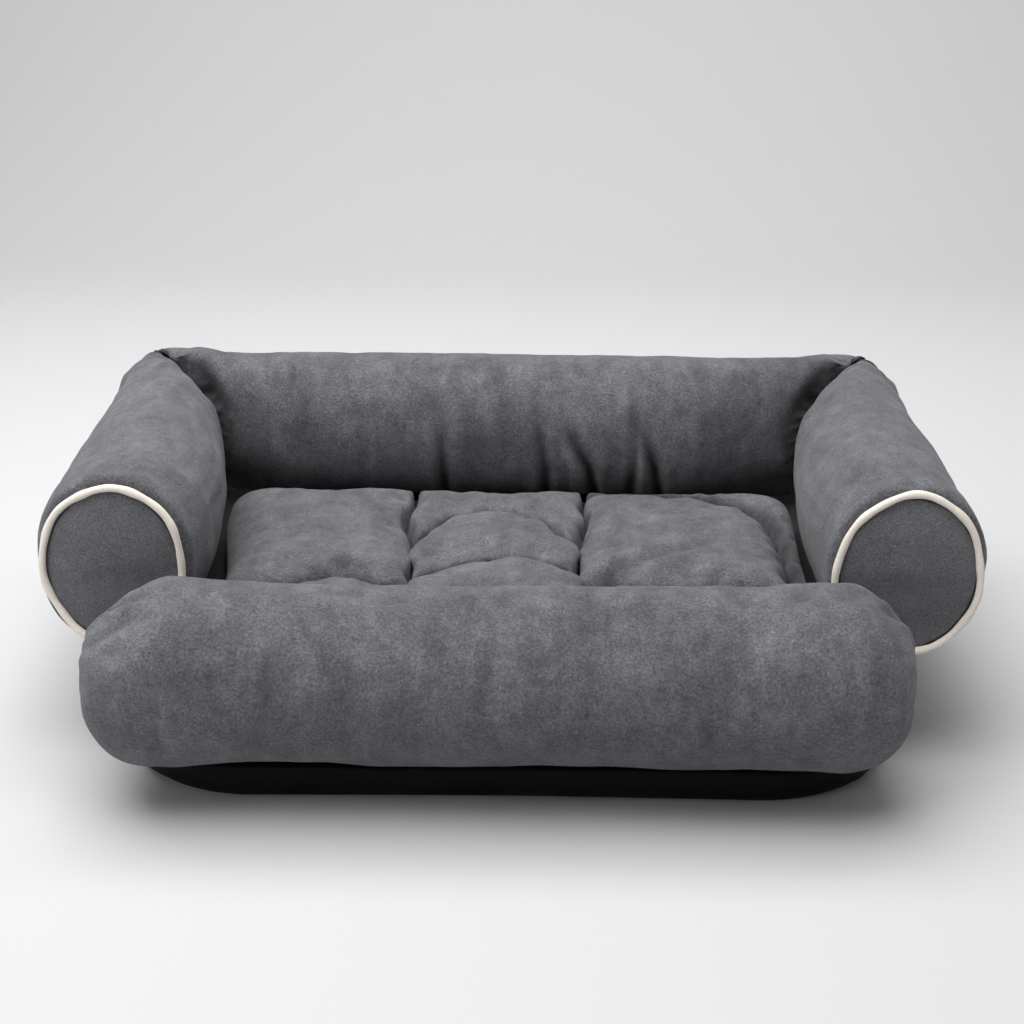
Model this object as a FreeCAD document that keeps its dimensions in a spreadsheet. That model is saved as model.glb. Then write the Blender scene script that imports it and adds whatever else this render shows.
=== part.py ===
import FreeCAD, Part
import Sketcher
import math
import os

# Pet cushion bed: a black base tray and a suede side band with pads inside, two arm rolls and a
# rear roll mitred together, a lower front roll, and a loose tufted cushion in the nest.
# +X is to the right, +Y to the rear, +Z up, in millimetres. The origin is on the ground, in the middle.

Vector = FreeCAD.Vector
doc = FreeCAD.newDocument("PetCushionBed")

# Driving dimensions: alias, value and what it is.
SIZES = [
    ("cover_wall", 1.6, "thickness of the cover fabric"),
    ("seam_gap", 0.6, "room left between neighbouring pieces"),
    ("tray_width", 752, "base tray, side to side"),
    ("tray_front", 290, "base tray, centre to front edge"),
    ("tray_rear", 322, "base tray, centre to rear edge"),
    ("tray_height", 37.4, "height of the black tray wall"),
    ("tray_corner", 88, "plan radius of the tray corners"),
    ("tray_round", 20, "radius under the tray's lower edge"),
    ("band_width", 744, "suede side band, side to side"),
    ("band_front", 192, "side band, centre to front wall"),
    ("band_rear", 318, "side band, centre to rear wall"),
    ("band_corner", 46, "plan radius of the side band corners"),
    ("floor_top", 104, "height of the nest floor"),
    ("arm_axis_x", 370, "centre of the bed to the axis of an arm"),
    ("rear_axis_y", 274, "centre of the bed to the axis of the rear roll"),
    ("roll_half_width", 80, "half width of the arm and rear rolls"),
    ("roll_half_height", 89, "half height of the arm and rear rolls"),
    ("arm_front", 186, "centre of the bed to the front rim of an arm cover"),
    ("arm_shoulder", 9, "radius where an arm turns into its end panel"),
    ("ring_half_width", 71.5, "half width of the piping ring's centre line"),
    ("ring_half_height", 80, "half height of the piping ring's centre line"),
    ("piping_radius", 4.2, "outer radius of the piping"),
    ("piping_cord_radius", 2.4, "radius of the cord inside the piping"),
    ("front_axis_y", 275, "centre of the bed to the axis of the front roll"),
    ("front_half_width", 79, "half width of the front roll"),
    ("front_half_height", 85, "half height of the front roll"),
    ("front_half_length", 378, "half length of the front roll"),
    ("front_end_round", 54, "radius round the ends of the front roll"),
    ("cushion_width", 570, "loose cushion, side to side"),
    ("cushion_front", 188, "loose cushion, centre to front edge"),
    ("cushion_rear", 182, "loose cushion, centre to rear edge"),
    ("cushion_height", 46, "thickness of the loose cushion"),
    ("cushion_corner", 42, "plan radius of the cushion corners"),
    ("cushion_edge", 14, "radius along the cushion's upper and lower edges"),
    ("pocket_gap", 8, "sewn channel between two pockets of filling"),
    ("base_zip_length", 520, "length of the zip in the side band"),
    ("base_zip_height", 70, "height of the zip in the side band"),
    ("cushion_zip_length", 400, "length of the zip in the cushion"),
    ("tape_half_width", 13, "zip centre to the outer edge of a tape"),
    ("coil_half_width", 3.1, "zip centre to the outer edge of the coils"),
    ("coil_gap", 0.7, "zip centre to the inner edge of a coil"),
    ("slot_half_width", 5.4, "half width of the slit in the cover under the zip"),
    ("slider_length", 9, "length of a zip slider"),
    ("tab_length", 24, "length of a pull tab"),
    ("tab_half_width", 2.7, "half width of a pull tab"),
]

sheet = doc.addObject("Spreadsheet::Sheet", "Sizes")
for row, (alias, value, meaning) in enumerate(SIZES, start=1):
    sheet.set(f"A{row}", meaning)
    sheet.set(f"B{row}", str(value))
    sheet.setAlias(f"B{row}", alias)
doc.recompute()

RADIAL_ROOM = "(Sizes.cover_wall + Sizes.seam_gap)"
ROLL_CENTRE_Z = "(Sizes.floor_top + Sizes.seam_gap + Sizes.roll_half_height)"
FRONT_CENTRE_Z = "(Sizes.tray_height + Sizes.seam_gap + Sizes.front_half_height)"
RING_Y = "(Sizes.arm_front + Sizes.piping_radius + Sizes.seam_gap)"
CUSHION_BOTTOM = "(Sizes.floor_top + Sizes.seam_gap)"
CUTTER = 400  # side of the block that cuts a mitre, larger than any roll


def bind(thing, values):
    """Binds each property of thing to its expression on the sheet."""
    for path, expression in values.items():
        thing.setExpression(path, expression)


def origin_plane(body, role):
    return [f for f in body.Origin.OriginFeatures if f.Role == role][0]


def new_sketch(body, name, role, offset):
    """A sketch on one of the body's own origin planes, moved by expressions along its local axes."""
    sketch = body.newObject("Sketcher::SketchObject", name)
    sketch.AttachmentSupport = (origin_plane(body, role), [""])
    sketch.MapMode = "FlatFace"
    bind(sketch, {f"AttachmentOffset.Base.{axis}": value for axis, value in offset.items()})
    return sketch


def constrain(sketch, name, expression, *constraint):
    index = sketch.addConstraint(Sketcher.Constraint(*constraint))
    sketch.renameConstraint(index, name)
    sketch.setExpression(f"Constraints.{name}", expression)


def rectangle(sketch, width, depth):
    """A rectangle centred on the sketch's origin."""
    start = 50
    corners = [Vector(x * start, y * start, 0) for x, y in ((-1, -1), (1, -1), (1, 1), (-1, 1))]
    for i in range(4):
        sketch.addGeometry(Part.LineSegment(corners[i], corners[(i + 1) % 4]), False)
    for i in range(4):
        sketch.addConstraint(Sketcher.Constraint("Coincident", i, 2, (i + 1) % 4, 1))
        sketch.addConstraint(Sketcher.Constraint("Vertical" if i % 2 else "Horizontal", i))
    sketch.addConstraint(Sketcher.Constraint("Symmetric", 0, 1, 1, 2, -1, 1))
    constrain(sketch, "width", width, "DistanceX", 0, 1, 0, 2, 2 * start)
    constrain(sketch, "depth", depth, "DistanceY", 1, 1, 1, 2, 2 * start)


def ellipse(sketch, half_width, half_height):
    """An ellipse centred on the sketch's origin, taller than it is wide."""
    shape = Part.Ellipse(Vector(0, 60, 0), Vector(40, 0, 0), Vector(0, 0, 0))
    sketch.addGeometry(shape, False)
    sketch.exposeInternalGeometry(0)
    sketch.addConstraint(Sketcher.Constraint("Coincident", 0, 3, -1, 1))
    sketch.addConstraint(Sketcher.Constraint("Vertical", 1))
    constrain(sketch, "height", f"2 * {half_height}", "Distance", 1, 120)
    constrain(sketch, "width", f"2 * {half_width}", "Distance", 2, 80)


def circle(sketch, name, radius):
    index = sketch.addGeometry(Part.Circle(Vector(0, 0, 0), Vector(0, 0, 1), 3), False)
    sketch.addConstraint(Sketcher.Constraint("Coincident", index, 3, -1, 1))
    constrain(sketch, name, radius, "Radius", index, 3)


def pad(body, name, sketch, length, reverse=False):
    feature = body.newObject("PartDesign::Pad", name)
    feature.Profile = sketch
    feature.Reversed = reverse
    feature.setExpression("Length", length)
    doc.recompute()
    return feature


def fillet(body, name, base, edges, radius):
    feature = body.newObject("PartDesign::Fillet", name)
    feature.Base = (base, edges)
    feature.setExpression("Radius", radius)
    doc.recompute()
    return feature


def upright_edges(shape):
    """Names of the straight edges that run along Z."""
    names = []
    for index, edge in enumerate(shape.Edges, start=1):
        low, high = edge.Vertexes[0].Point, edge.Vertexes[-1].Point
        if abs(high.z - low.z) > 1 and abs(high.x - low.x) + abs(high.y - low.y) < 1e-6:
            names.append(f"Edge{index}")
    return names


def level_edges(shape, height):
    """Names of the edges that lie flat at one height."""
    names = []
    for index, edge in enumerate(shape.Edges, start=1):
        box = edge.BoundBox
        if abs(box.ZMin - height) < 1e-4 and abs(box.ZMax - height) < 1e-4:
            names.append(f"Edge{index}")
    return names


def slab(name, front, rear, width, bottom, height, corner, lower_edge=None, upper_edge=None):
    """A flat block with rounded corners, lying between front and rear. Every size is an expression."""
    body = doc.addObject("PartDesign::Body", name)
    middle = f"(({rear}) - ({front})) / 2"
    sketch = new_sketch(body, f"{name}_outline", "XY_Plane", {"y": middle, "z": bottom})
    rectangle(sketch, width, f"({rear}) + ({front})")
    block = pad(body, f"{name}_pad", sketch, height)
    last = fillet(body, f"{name}_corners", block, upright_edges(block.Shape), corner)
    if lower_edge:
        edges = level_edges(last.Shape, last.Shape.BoundBox.ZMin)
        last = fillet(body, f"{name}_lower_edge", last, edges, lower_edge)
    if upper_edge:
        edges = level_edges(last.Shape, last.Shape.BoundBox.ZMax)
        last = fillet(body, f"{name}_upper_edge", last, edges, upper_edge)
    return body


def end_edges(shape, axis):
    """Names of the curved edges round both ends of a roll along axis."""
    names = []
    for index, edge in enumerate(shape.Edges, start=1):
        box = edge.BoundBox
        thickness = {"x": box.XLength, "y": box.YLength}[axis]
        if thickness < 1e-3 and len(edge.Vertexes) == 1:
            names.append((f"Edge{index}", getattr(edge.CenterOfMass, axis)))
    return names


def arm_solid(name, inset, front):
    """The left arm's roll, set in by inset all round, from its front end to past the mitre."""
    body = doc.addObject("PartDesign::Body", name)
    offset = {"x": "-Sizes.arm_axis_x", "y": ROLL_CENTRE_Z, "z": front}
    sketch = new_sketch(body, f"{name}_section", "XZ_Plane", offset)
    ellipse(sketch, f"(Sizes.roll_half_width - {inset})", f"(Sizes.roll_half_height - {inset})")
    length = f"{front} + Sizes.rear_axis_y + Sizes.roll_half_width * 1.5"
    roll = pad(body, f"{name}_pad", sketch, length, reverse=True)
    front_edge = min(end_edges(roll.Shape, "y"), key=lambda edge: edge[1])[0]
    fillet(body, f"{name}_shoulder", roll, [front_edge], f"Sizes.arm_shoulder - {inset}")
    return body


def rear_solid(name, inset):
    """The rear roll, set in by inset all round, longer than its mitres."""
    body = doc.addObject("PartDesign::Body", name)
    half_length = "(Sizes.arm_axis_x + Sizes.roll_half_width * 1.5)"
    offset = {"x": "Sizes.rear_axis_y", "y": ROLL_CENTRE_Z, "z": f"-{half_length}"}
    sketch = new_sketch(body, f"{name}_section", "YZ_Plane", offset)
    ellipse(sketch, f"(Sizes.roll_half_width - {inset})", f"(Sizes.roll_half_height - {inset})")
    pad(body, f"{name}_pad", sketch, f"2 * {half_length}")
    return body


def front_solid(name, inset):
    """The front roll with its rounded ends, set in by inset all round."""
    body = doc.addObject("PartDesign::Body", name)
    half_length = f"(Sizes.front_half_length - {inset})"
    offset = {"x": "-Sizes.front_axis_y", "y": FRONT_CENTRE_Z, "z": f"-{half_length}"}
    sketch = new_sketch(body, f"{name}_section", "YZ_Plane", offset)
    ellipse(sketch, f"(Sizes.front_half_width - {inset})", f"(Sizes.front_half_height - {inset})")
    roll = pad(body, f"{name}_pad", sketch, f"2 * {half_length}")
    edges = [edge[0] for edge in end_edges(roll.Shape, "x")]
    fillet(body, f"{name}_ends", roll, edges, f"Sizes.front_end_round - {inset}")
    return body


def end_disc(name, half_width, half_height, front, thickness):
    """An upright oval disc on the left arm's axis."""
    body = doc.addObject("PartDesign::Body", name)
    offset = {"x": "-Sizes.arm_axis_x", "y": ROLL_CENTRE_Z, "z": front}
    sketch = new_sketch(body, f"{name}_section", "XZ_Plane", offset)
    ellipse(sketch, half_width, half_height)
    pad(body, f"{name}_pad", sketch, thickness, reverse=True)
    return body


def piping_ring(name, radius):
    """An oval ring of round section round the left arm's end panel."""
    body = doc.addObject("PartDesign::Body", name)
    offset = {"x": "-Sizes.arm_axis_x", "y": ROLL_CENTRE_Z, "z": RING_Y}
    path = new_sketch(body, f"{name}_path", "XZ_Plane", offset)
    ellipse(path, "Sizes.ring_half_width", "Sizes.ring_half_height")
    offset = {"x": "-Sizes.arm_axis_x + Sizes.ring_half_width", "y": f"-{RING_Y}", "z": ROLL_CENTRE_Z}
    section = new_sketch(body, f"{name}_section", "XY_Plane", offset)
    circle(section, "radius", radius)
    doc.recompute()
    pipe = body.newObject("PartDesign::AdditivePipe", f"{name}_pipe")
    pipe.Profile = section
    pipe.Spine = (path, ["Edge1"])
    return body


def box(name, low, high):
    """A block between two corners, each given as three expressions."""
    block = doc.addObject("Part::Box", name)
    for axis, side, start, end in zip("xyz", ("Length", "Width", "Height"), low, high):
        bind(block, {side: f"({end}) - ({start})", f"Placement.Base.{axis}": start})
    return block


def cut(name, base, tools):
    """base with every tool taken out of it."""
    tool = tools[0]
    if len(tools) > 1:
        tool = doc.addObject("Part::MultiFuse", f"{name}_tools")
        tool.Shapes = tools
    feature = doc.addObject("Part::Cut", name)
    feature.Base = base
    feature.Tool = tool
    return feature


def group(name, solids):
    """Separate solids that belong to one sub-part."""
    compound = doc.addObject("Part::Compound", name)
    compound.Links = solids
    return compound


def mitre_block(name, arm_side, extra="0"):
    """A block that covers all on one side of the left mitre plane: the arm's side or the rear roll's.

    It reaches past the plane by half the seam gap and extra, so that what it cuts stops short of it.
    """
    block = doc.addObject("Part::Box", name)
    block.Length = CUTTER
    block.Width = CUTTER
    block.Height = CUTTER
    diagonal = math.sqrt(0.5)
    shift = f"(Sizes.seam_gap / 2 + {extra})"
    along = f"({shift} - {CUTTER})" if arm_side else f"(-{shift})"
    block.Placement.Rotation = FreeCAD.Rotation(Vector(0, 0, 1), 45)
    bind(block, {
        "Placement.Base.x": f"-Sizes.arm_axis_x + ({along} + {CUTTER / 2}) * {diagonal}",
        "Placement.Base.y": f"Sizes.rear_axis_y + ({along} - {CUTTER / 2}) * {diagonal}",
    })
    return block


def mirrored(name, source):
    """The same piece on the other side of the bed."""
    feature = doc.addObject("Part::Mirroring", name)
    feature.Source = source
    feature.Normal = Vector(1, 0, 0)
    feature.Base = Vector(0, 0, 0)
    return feature


# Base tray, side band and the pads inside them.
wall = "Sizes.cover_wall"
room = RADIAL_ROOM
tray_outer = slab(
    "tray_outer", "Sizes.tray_front", "Sizes.tray_rear", "Sizes.tray_width", "0",
    "Sizes.tray_height", "Sizes.tray_corner", lower_edge="Sizes.tray_round",
)
tray_inner = slab(
    "tray_inner", f"Sizes.tray_front - {wall}", f"Sizes.tray_rear - {wall}",
    f"Sizes.tray_width - 2 * {wall}", wall, "Sizes.tray_height",
    f"Sizes.tray_corner - {wall}", lower_edge=f"Sizes.tray_round - {wall}",
)
bottom_cover = cut("bottom_cover", tray_outer, [tray_inner])
base_pad = slab(
    "base_pad", f"Sizes.tray_front - {room}", f"Sizes.tray_rear - {room}",
    f"Sizes.tray_width - 2 * {room}", room, f"Sizes.tray_height - {room}",
    f"Sizes.tray_corner - {room}", lower_edge=f"Sizes.tray_round - {room}",
)

band_bottom = "(Sizes.tray_height + Sizes.seam_gap)"
band_top = "(Sizes.floor_top - Sizes.cover_wall - Sizes.seam_gap)"
band_outer = slab(
    "band_outer", "Sizes.band_front", "Sizes.band_rear", "Sizes.band_width", band_bottom,
    f"{band_top} - {band_bottom}", "Sizes.band_corner",
)
band_inner = slab(
    "band_inner", f"Sizes.band_front - {wall}", f"Sizes.band_rear - {wall}",
    f"Sizes.band_width - 2 * {wall}", "0", "Sizes.floor_top + 10", f"Sizes.band_corner - {wall}",
)
nest_floor_panel = slab(
    "nest_floor_panel", "Sizes.band_front", "Sizes.band_rear", "Sizes.band_width",
    f"Sizes.floor_top - {wall}", wall, "Sizes.band_corner",
)
nest_floor_pad = slab(
    "nest_floor_pad", f"Sizes.band_front - {room}", f"Sizes.band_rear - {room}",
    f"Sizes.band_width - 2 * {room}", band_bottom, f"{band_top} - {band_bottom}",
    f"Sizes.band_corner - {room}",
)

# Arms: the left one is made, and the right one is its mirror image.
past_mitre = mitre_block("past_mitre", arm_side=False)
past_mitre_fill = mitre_block("past_mitre_fill", arm_side=False, extra="Sizes.seam_gap")
disc_half_width = "(Sizes.ring_half_width - Sizes.piping_radius - Sizes.seam_gap)"
disc_half_height = "(Sizes.ring_half_height - Sizes.piping_radius - Sizes.seam_gap)"
arm_hole = end_disc(
    "arm_hole", f"({disc_half_width} + Sizes.seam_gap)", f"({disc_half_height} + Sizes.seam_gap)",
    "(Sizes.arm_front + 1)", "Sizes.cover_wall + 4",
)
arm_cover = cut("left_arm_cover", arm_solid("arm_outer", "0", "Sizes.arm_front"), [
    arm_solid("arm_inner", wall, "(Sizes.arm_front - Sizes.cover_wall)"), arm_hole, past_mitre,
])
arm_fill = cut("left_arm_fill", arm_solid("arm_stuffing", room, f"(Sizes.arm_front - {room})"), [
    past_mitre_fill,
])
arm_end = end_disc("left_arm_end_panel", disc_half_width, disc_half_height, RING_Y, wall)
arm_sleeve = cut("left_arm_piping", piping_ring("piping_outer", "Sizes.piping_radius"), [
    piping_ring("piping_bore", "Sizes.piping_cord_radius + Sizes.seam_gap / 2"),
])
arm_cord = piping_ring("left_arm_piping_cord", "Sizes.piping_cord_radius")
left_arm = [arm_cover, arm_fill, arm_end, arm_sleeve, arm_cord]
right_arm = [mirrored(piece.Label.replace("left", "right"), piece) for piece in left_arm]

# Rear roll, mitred at both ends, and the lower front roll.
before_mitre = mitre_block("before_mitre", arm_side=True)
before_mitre_fill = mitre_block("before_mitre_fill", arm_side=True, extra="Sizes.seam_gap")
rear_roll_cover = cut("rear_roll_cover", rear_solid("rear_outer", "0"), [
    rear_solid("rear_inner", wall), before_mitre, mirrored("before_mitre_right", before_mitre),
])
rear_roll_fill = cut("rear_roll_fill", rear_solid("rear_stuffing", room), [
    before_mitre_fill, mirrored("before_mitre_fill_right", before_mitre_fill),
])
front_roll_cover = cut(
    "front_roll_cover", front_solid("front_outer", "0"), [front_solid("front_inner", wall)]
)
front_roll_fill = front_solid("front_roll_fill", room)

# Loose cushion: a cover and nine pockets of filling.
cushion_outer = slab(
    "cushion_outer", "Sizes.cushion_front", "Sizes.cushion_rear", "Sizes.cushion_width",
    CUSHION_BOTTOM, "Sizes.cushion_height", "Sizes.cushion_corner",
    lower_edge="Sizes.cushion_edge", upper_edge="Sizes.cushion_edge",
)
cushion_inner = slab(
    "cushion_inner", f"Sizes.cushion_front - {wall}", f"Sizes.cushion_rear - {wall}",
    f"Sizes.cushion_width - 2 * {wall}", f"{CUSHION_BOTTOM} + {wall}",
    f"Sizes.cushion_height - 2 * {wall}", f"Sizes.cushion_corner - {wall}",
    lower_edge=f"Sizes.cushion_edge - {wall}", upper_edge=f"Sizes.cushion_edge - {wall}",
)
POCKETS = 3
pocket_room = "24"
pocket_width = f"((Sizes.cushion_width - 2 * {pocket_room}) / {POCKETS})"
pocket_depth = f"((Sizes.cushion_front + Sizes.cushion_rear - 2 * {pocket_room}) / {POCKETS})"
pockets = []
for column in range(POCKETS):
    for row in range(POCKETS):
        left = f"-Sizes.cushion_width / 2 + {pocket_room} + {column} * {pocket_width}"
        front = f"-Sizes.cushion_front + {pocket_room} + {row} * {pocket_depth}"
        pockets.append(box(
            f"pocket_{column}_{row}",
            (f"{left} + Sizes.pocket_gap / 2", f"{front} + Sizes.pocket_gap / 2",
             f"{CUSHION_BOTTOM} + {room}"),
            (f"{left} + {pocket_width} - Sizes.pocket_gap / 2",
             f"{front} + {pocket_depth} - Sizes.pocket_gap / 2",
             f"{CUSHION_BOTTOM} + Sizes.cushion_height - {room}"),
        ))
cushion_fill = group("cushion_fill", pockets)


def zip_fastener(name, length, wall_y, height):
    """A zip on a wall that faces the rear: its slit, tapes, coils, stops, slider and pull tab.

    Local x runs along the zip towards -X, local y up the wall and local z out of it, with the wall's
    face at z = 0. The slider stands at the zip's closed end, on +X, and its tab points to -X.
    """
    half = f"({length} / 2)"
    coil_low, coil_high = "0.2", "2.8"
    top_low, top_high = "3.2", "4.2"
    opening = box(
        f"{name}_opening", (f"-{half}", "-Sizes.slot_half_width", "-6"),
        (half, "Sizes.slot_half_width", "2"),
    )
    slit = group(f"{name}_slit", [opening])
    tapes, coils = [], []
    for side, sign in (("upper", 1), ("lower", -1)):
        spans = {
            "tape": ("(Sizes.coil_half_width + 0.1)", "Sizes.tape_half_width", "0.3", "1.1"),
            "coil": ("Sizes.coil_gap", "Sizes.coil_half_width", coil_low, coil_high),
        }
        for kind, (inner, outer, low, high) in spans.items():
            near, far = (inner, outer) if sign > 0 else (f"-{outer}", f"-{inner}")
            part = box(f"{name}_{side}_{kind}", (f"-{half} + 2", near, low), (f"{half} - 2", far, high))
            (tapes if kind == "tape" else coils).append(part)
    stops = []
    for index, (start, end) in enumerate((("4", "6"), (f"{length} - 6", f"{length} - 4"))):
        stops.append(box(
            f"{name}_stop_block_{index}", (f"-{half} + {start}", "-Sizes.coil_half_width", coil_high),
            (f"-{half} + {end}", "Sizes.coil_half_width", "3.6"),
        ))
    first = f"(-{half} + 7.5)"
    last = f"({first} + Sizes.slider_length)"
    middle = f"({first} + Sizes.slider_length / 2)"
    blocks = [
        ("bottom", (first, "-4.4", "-1.3"), (last, "4.4", "-0.5")),
        ("post", (first, "-0.35", "-0.6"), (f"{first} + 3", "0.35", "3.3")),
        ("top", (first, "-4.4", top_low), (last, "4.4", top_high)),
        ("upper_lip", (first, "3.6", "1.9"), (last, "4.4", "3.3")),
        ("lower_lip", (first, "-4.4", "1.9"), (last, "-3.6", "3.3")),
        ("arch_left", (f"{middle} - 3", "-1", "4.1"), (f"{middle} - 2.2", "1", "7.2")),
        ("arch_right", (f"{middle} + 2.2", "-1", "4.1"), (f"{middle} + 3", "1", "7.2")),
        ("arch_top", (f"{middle} - 3", "-1", "6.4"), (f"{middle} + 3", "1", "7.2")),
    ]
    slider = doc.addObject("Part::MultiFuse", f"{name}_slider")
    slider.Shapes = [box(f"{name}_slider_{part}", low, high) for part, low, high in blocks]
    bar = doc.addObject("Part::Cylinder", f"{name}_tab_bar")
    bar.Placement.Rotation = FreeCAD.Rotation(Vector(1, 0, 0), -90)
    bind(bar, {
        "Radius": "0.6",
        "Height": "2 * Sizes.tab_half_width",
        "Placement.Base.x": middle,
        "Placement.Base.y": "-Sizes.tab_half_width",
        "Placement.Base.z": "5.3",
    })
    tab_blocks = [
        ("upper_arm", (f"{middle}", "1.5", "4.9"), (f"{middle} + 4.8", "Sizes.tab_half_width", "5.7")),
        ("lower_arm", (f"{middle}", "-Sizes.tab_half_width", "4.9"), (f"{middle} + 4.8", "-1.5", "5.7")),
        ("grip", (f"{middle} + 4.4", "-Sizes.tab_half_width", "4.9"),
         (f"{middle} + Sizes.tab_length", "Sizes.tab_half_width", "5.7")),
    ]
    tab = doc.addObject("Part::MultiFuse", f"{name}_pull_tab")
    tab.Shapes = [bar] + [box(f"{name}_tab_{part}", low, high) for part, low, high in tab_blocks]
    made = [group(f"{name}_tapes", tapes), group(f"{name}_coils", coils), group(f"{name}_stops", stops)]
    made += [slider, tab]
    for piece in [slit] + made:
        piece.Placement.Rotation = FreeCAD.Rotation(Vector(0, 1, 1), 180)
        bind(piece, {"Placement.Base.y": wall_y, "Placement.Base.z": height})
    return slit, made


base_slit, base_zip = zip_fastener(
    "base_zip", "Sizes.base_zip_length", "Sizes.band_rear", "Sizes.base_zip_height"
)
cushion_slit, cushion_zip = zip_fastener(
    "cushion_zip", "Sizes.cushion_zip_length", "Sizes.cushion_rear",
    f"{CUSHION_BOTTOM} + Sizes.cushion_height / 2",
)
side_band = cut("side_band", band_outer, [band_inner, base_slit])
cushion_cover = cut("cushion_cover", cushion_outer, [cushion_inner, cushion_slit])

base = [bottom_cover, base_pad, side_band, nest_floor_panel, nest_floor_pad]
rolls = [rear_roll_cover, rear_roll_fill, front_roll_cover, front_roll_fill]
cushion = [cushion_cover, cushion_fill]
subparts = base + left_arm + right_arm + rolls + cushion + base_zip + cushion_zip

doc.recompute()
for thing in doc.Objects:
    if "Invalid" in thing.State or "Error" in thing.State:
        raise RuntimeError(f"{thing.Label} failed: {thing.State}")

os.makedirs("parts", exist_ok=True)
for piece in subparts:
    shape = piece.Shape
    if shape.isNull() or not shape.isValid() or not shape.Solids:
        raise RuntimeError(f"{piece.Label} has no valid solid")
    shape.exportStep(f"parts/{piece.Label}.step")
    print(f"{piece.Label}: {len(shape.Solids)} solids, {shape.Volume / 1000:.2f} cm3")
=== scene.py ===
import math

import bmesh
import bpy
import numpy as np
from mathutils import Matrix, Vector, noise


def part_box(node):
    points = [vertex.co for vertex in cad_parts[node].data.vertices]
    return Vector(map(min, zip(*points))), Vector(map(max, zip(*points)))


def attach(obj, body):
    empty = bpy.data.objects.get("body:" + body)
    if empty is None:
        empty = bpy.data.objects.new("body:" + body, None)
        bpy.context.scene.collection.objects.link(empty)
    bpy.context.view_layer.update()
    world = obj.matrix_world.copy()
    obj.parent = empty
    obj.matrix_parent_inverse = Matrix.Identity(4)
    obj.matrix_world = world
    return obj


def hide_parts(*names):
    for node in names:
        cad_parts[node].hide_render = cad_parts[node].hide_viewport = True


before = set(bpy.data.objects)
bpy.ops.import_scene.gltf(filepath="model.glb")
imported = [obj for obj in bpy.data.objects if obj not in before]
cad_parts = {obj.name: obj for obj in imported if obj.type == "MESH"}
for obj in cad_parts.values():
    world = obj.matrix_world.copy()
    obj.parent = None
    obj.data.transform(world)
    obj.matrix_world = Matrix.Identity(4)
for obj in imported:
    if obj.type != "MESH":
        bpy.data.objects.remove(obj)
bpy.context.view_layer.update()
scene = bpy.context.scene
print("frame loaded:", len(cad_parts), "nodes")

# places that several pieces share, all read from the frame
armLow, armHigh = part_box("left_arm_cover")
rearLow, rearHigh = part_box("rear_roll_cover")
frontLow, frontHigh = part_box("front_roll_cover")
trayLow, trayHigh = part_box("bottom_cover")
bandLow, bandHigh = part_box("side_band")
nestLow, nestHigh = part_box("nest_floor_panel")
cushionLow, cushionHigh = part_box("cushion_cover")
pipingLow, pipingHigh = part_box("left_arm_piping")
rollHalfHeight = (rearHigh.z - rearLow.z) / 2
rollZ = (rearHigh.z + rearLow.z) / 2
rearY = (rearHigh.y + rearLow.y) / 2
armX = -(armLow.x + armHigh.x) / 2
frontY = (frontLow.y + frontHigh.y) / 2
frontZ = (frontLow.z + frontHigh.z) / 2
frontHalfWidth = (frontHigh.y - frontLow.y) / 2
frontHalfHeight = (frontHigh.z - frontLow.z) / 2


# small helpers

def getCoords(mesh):
    flat = np.empty(len(mesh.vertices) * 3, np.float32)
    mesh.vertices.foreach_get("co", flat)
    return flat.reshape(-1, 3).astype(float)


def setCoords(mesh, coords):
    mesh.vertices.foreach_set("co", coords.astype(np.float32).ravel())
    mesh.update()


def getNormals(mesh):
    flat = np.empty(len(mesh.vertices) * 3, np.float32)
    mesh.vertices.foreach_get("normal", flat)
    return flat.reshape(-1, 3).astype(float)


def ease(low, high, value):
    share = np.clip((value - low) / (high - low), 0, 1)
    return share * share * (3 - 2 * share)


def bell(value, centre, width):
    return np.exp(-(((value - centre) / width) ** 2))


# soft random lumps, about -1 to 1, with the given patch size in metres
def lumps(points, size, seed, octaves=2):
    shift = Vector((seed * 3.17, seed * 1.71, seed * 5.23))
    stretched = points / np.array(size)
    return np.array([noise.fractal(Vector(p) + shift, 1.0, 2.0, octaves) for p in stretched])


def makePiece(name, bm, material):
    bmesh.ops.recalc_face_normals(bm, faces=bm.faces[:])
    mesh = bpy.data.meshes.new(name)
    bm.to_mesh(mesh)
    bm.free()
    mesh.polygons.foreach_set("use_smooth", [True] * len(mesh.polygons))
    piece = bpy.data.objects.new(name, mesh)
    scene.collection.objects.link(piece)
    piece.data.materials.append(material)
    return piece


# turns a mapped shell's faces outwards
def faceOut(piece):
    bm = bmesh.new()
    bm.from_mesh(piece.data)
    bmesh.ops.recalc_face_normals(bm, faces=bm.faces[:])
    bm.to_mesh(piece.data)
    bm.free()


# paints shade into the sewn ditches, tight gaps and undersides: a per-vertex amount by which the suede is
# darkened
def markPaintedShade(piece, share):
    layer = piece.data.attributes.new("paintedShade", "FLOAT", "POINT")
    layer.data.foreach_set("value", np.clip(share, 0, 1).astype(np.float32))


def refine(piece, levels=1):
    finer = piece.modifiers.new("finer", "SUBSURF")
    finer.levels = levels
    finer.render_levels = levels
    bakeModifiers(piece)


def bakeModifiers(piece):
    evaluated = piece.evaluated_get(bpy.context.evaluated_depsgraph_get())
    mesh = bpy.data.meshes.new_from_object(evaluated)
    piece.modifiers.clear()
    old = piece.data
    piece.data = mesh
    mesh.name = piece.name
    bpy.data.meshes.remove(old)


# what a finished piece moves with, and the frame nodes it stands for, which are hidden
def settle(piece, body, nodes=()):
    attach(piece, body)
    if nodes:
        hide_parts(*nodes)


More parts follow.
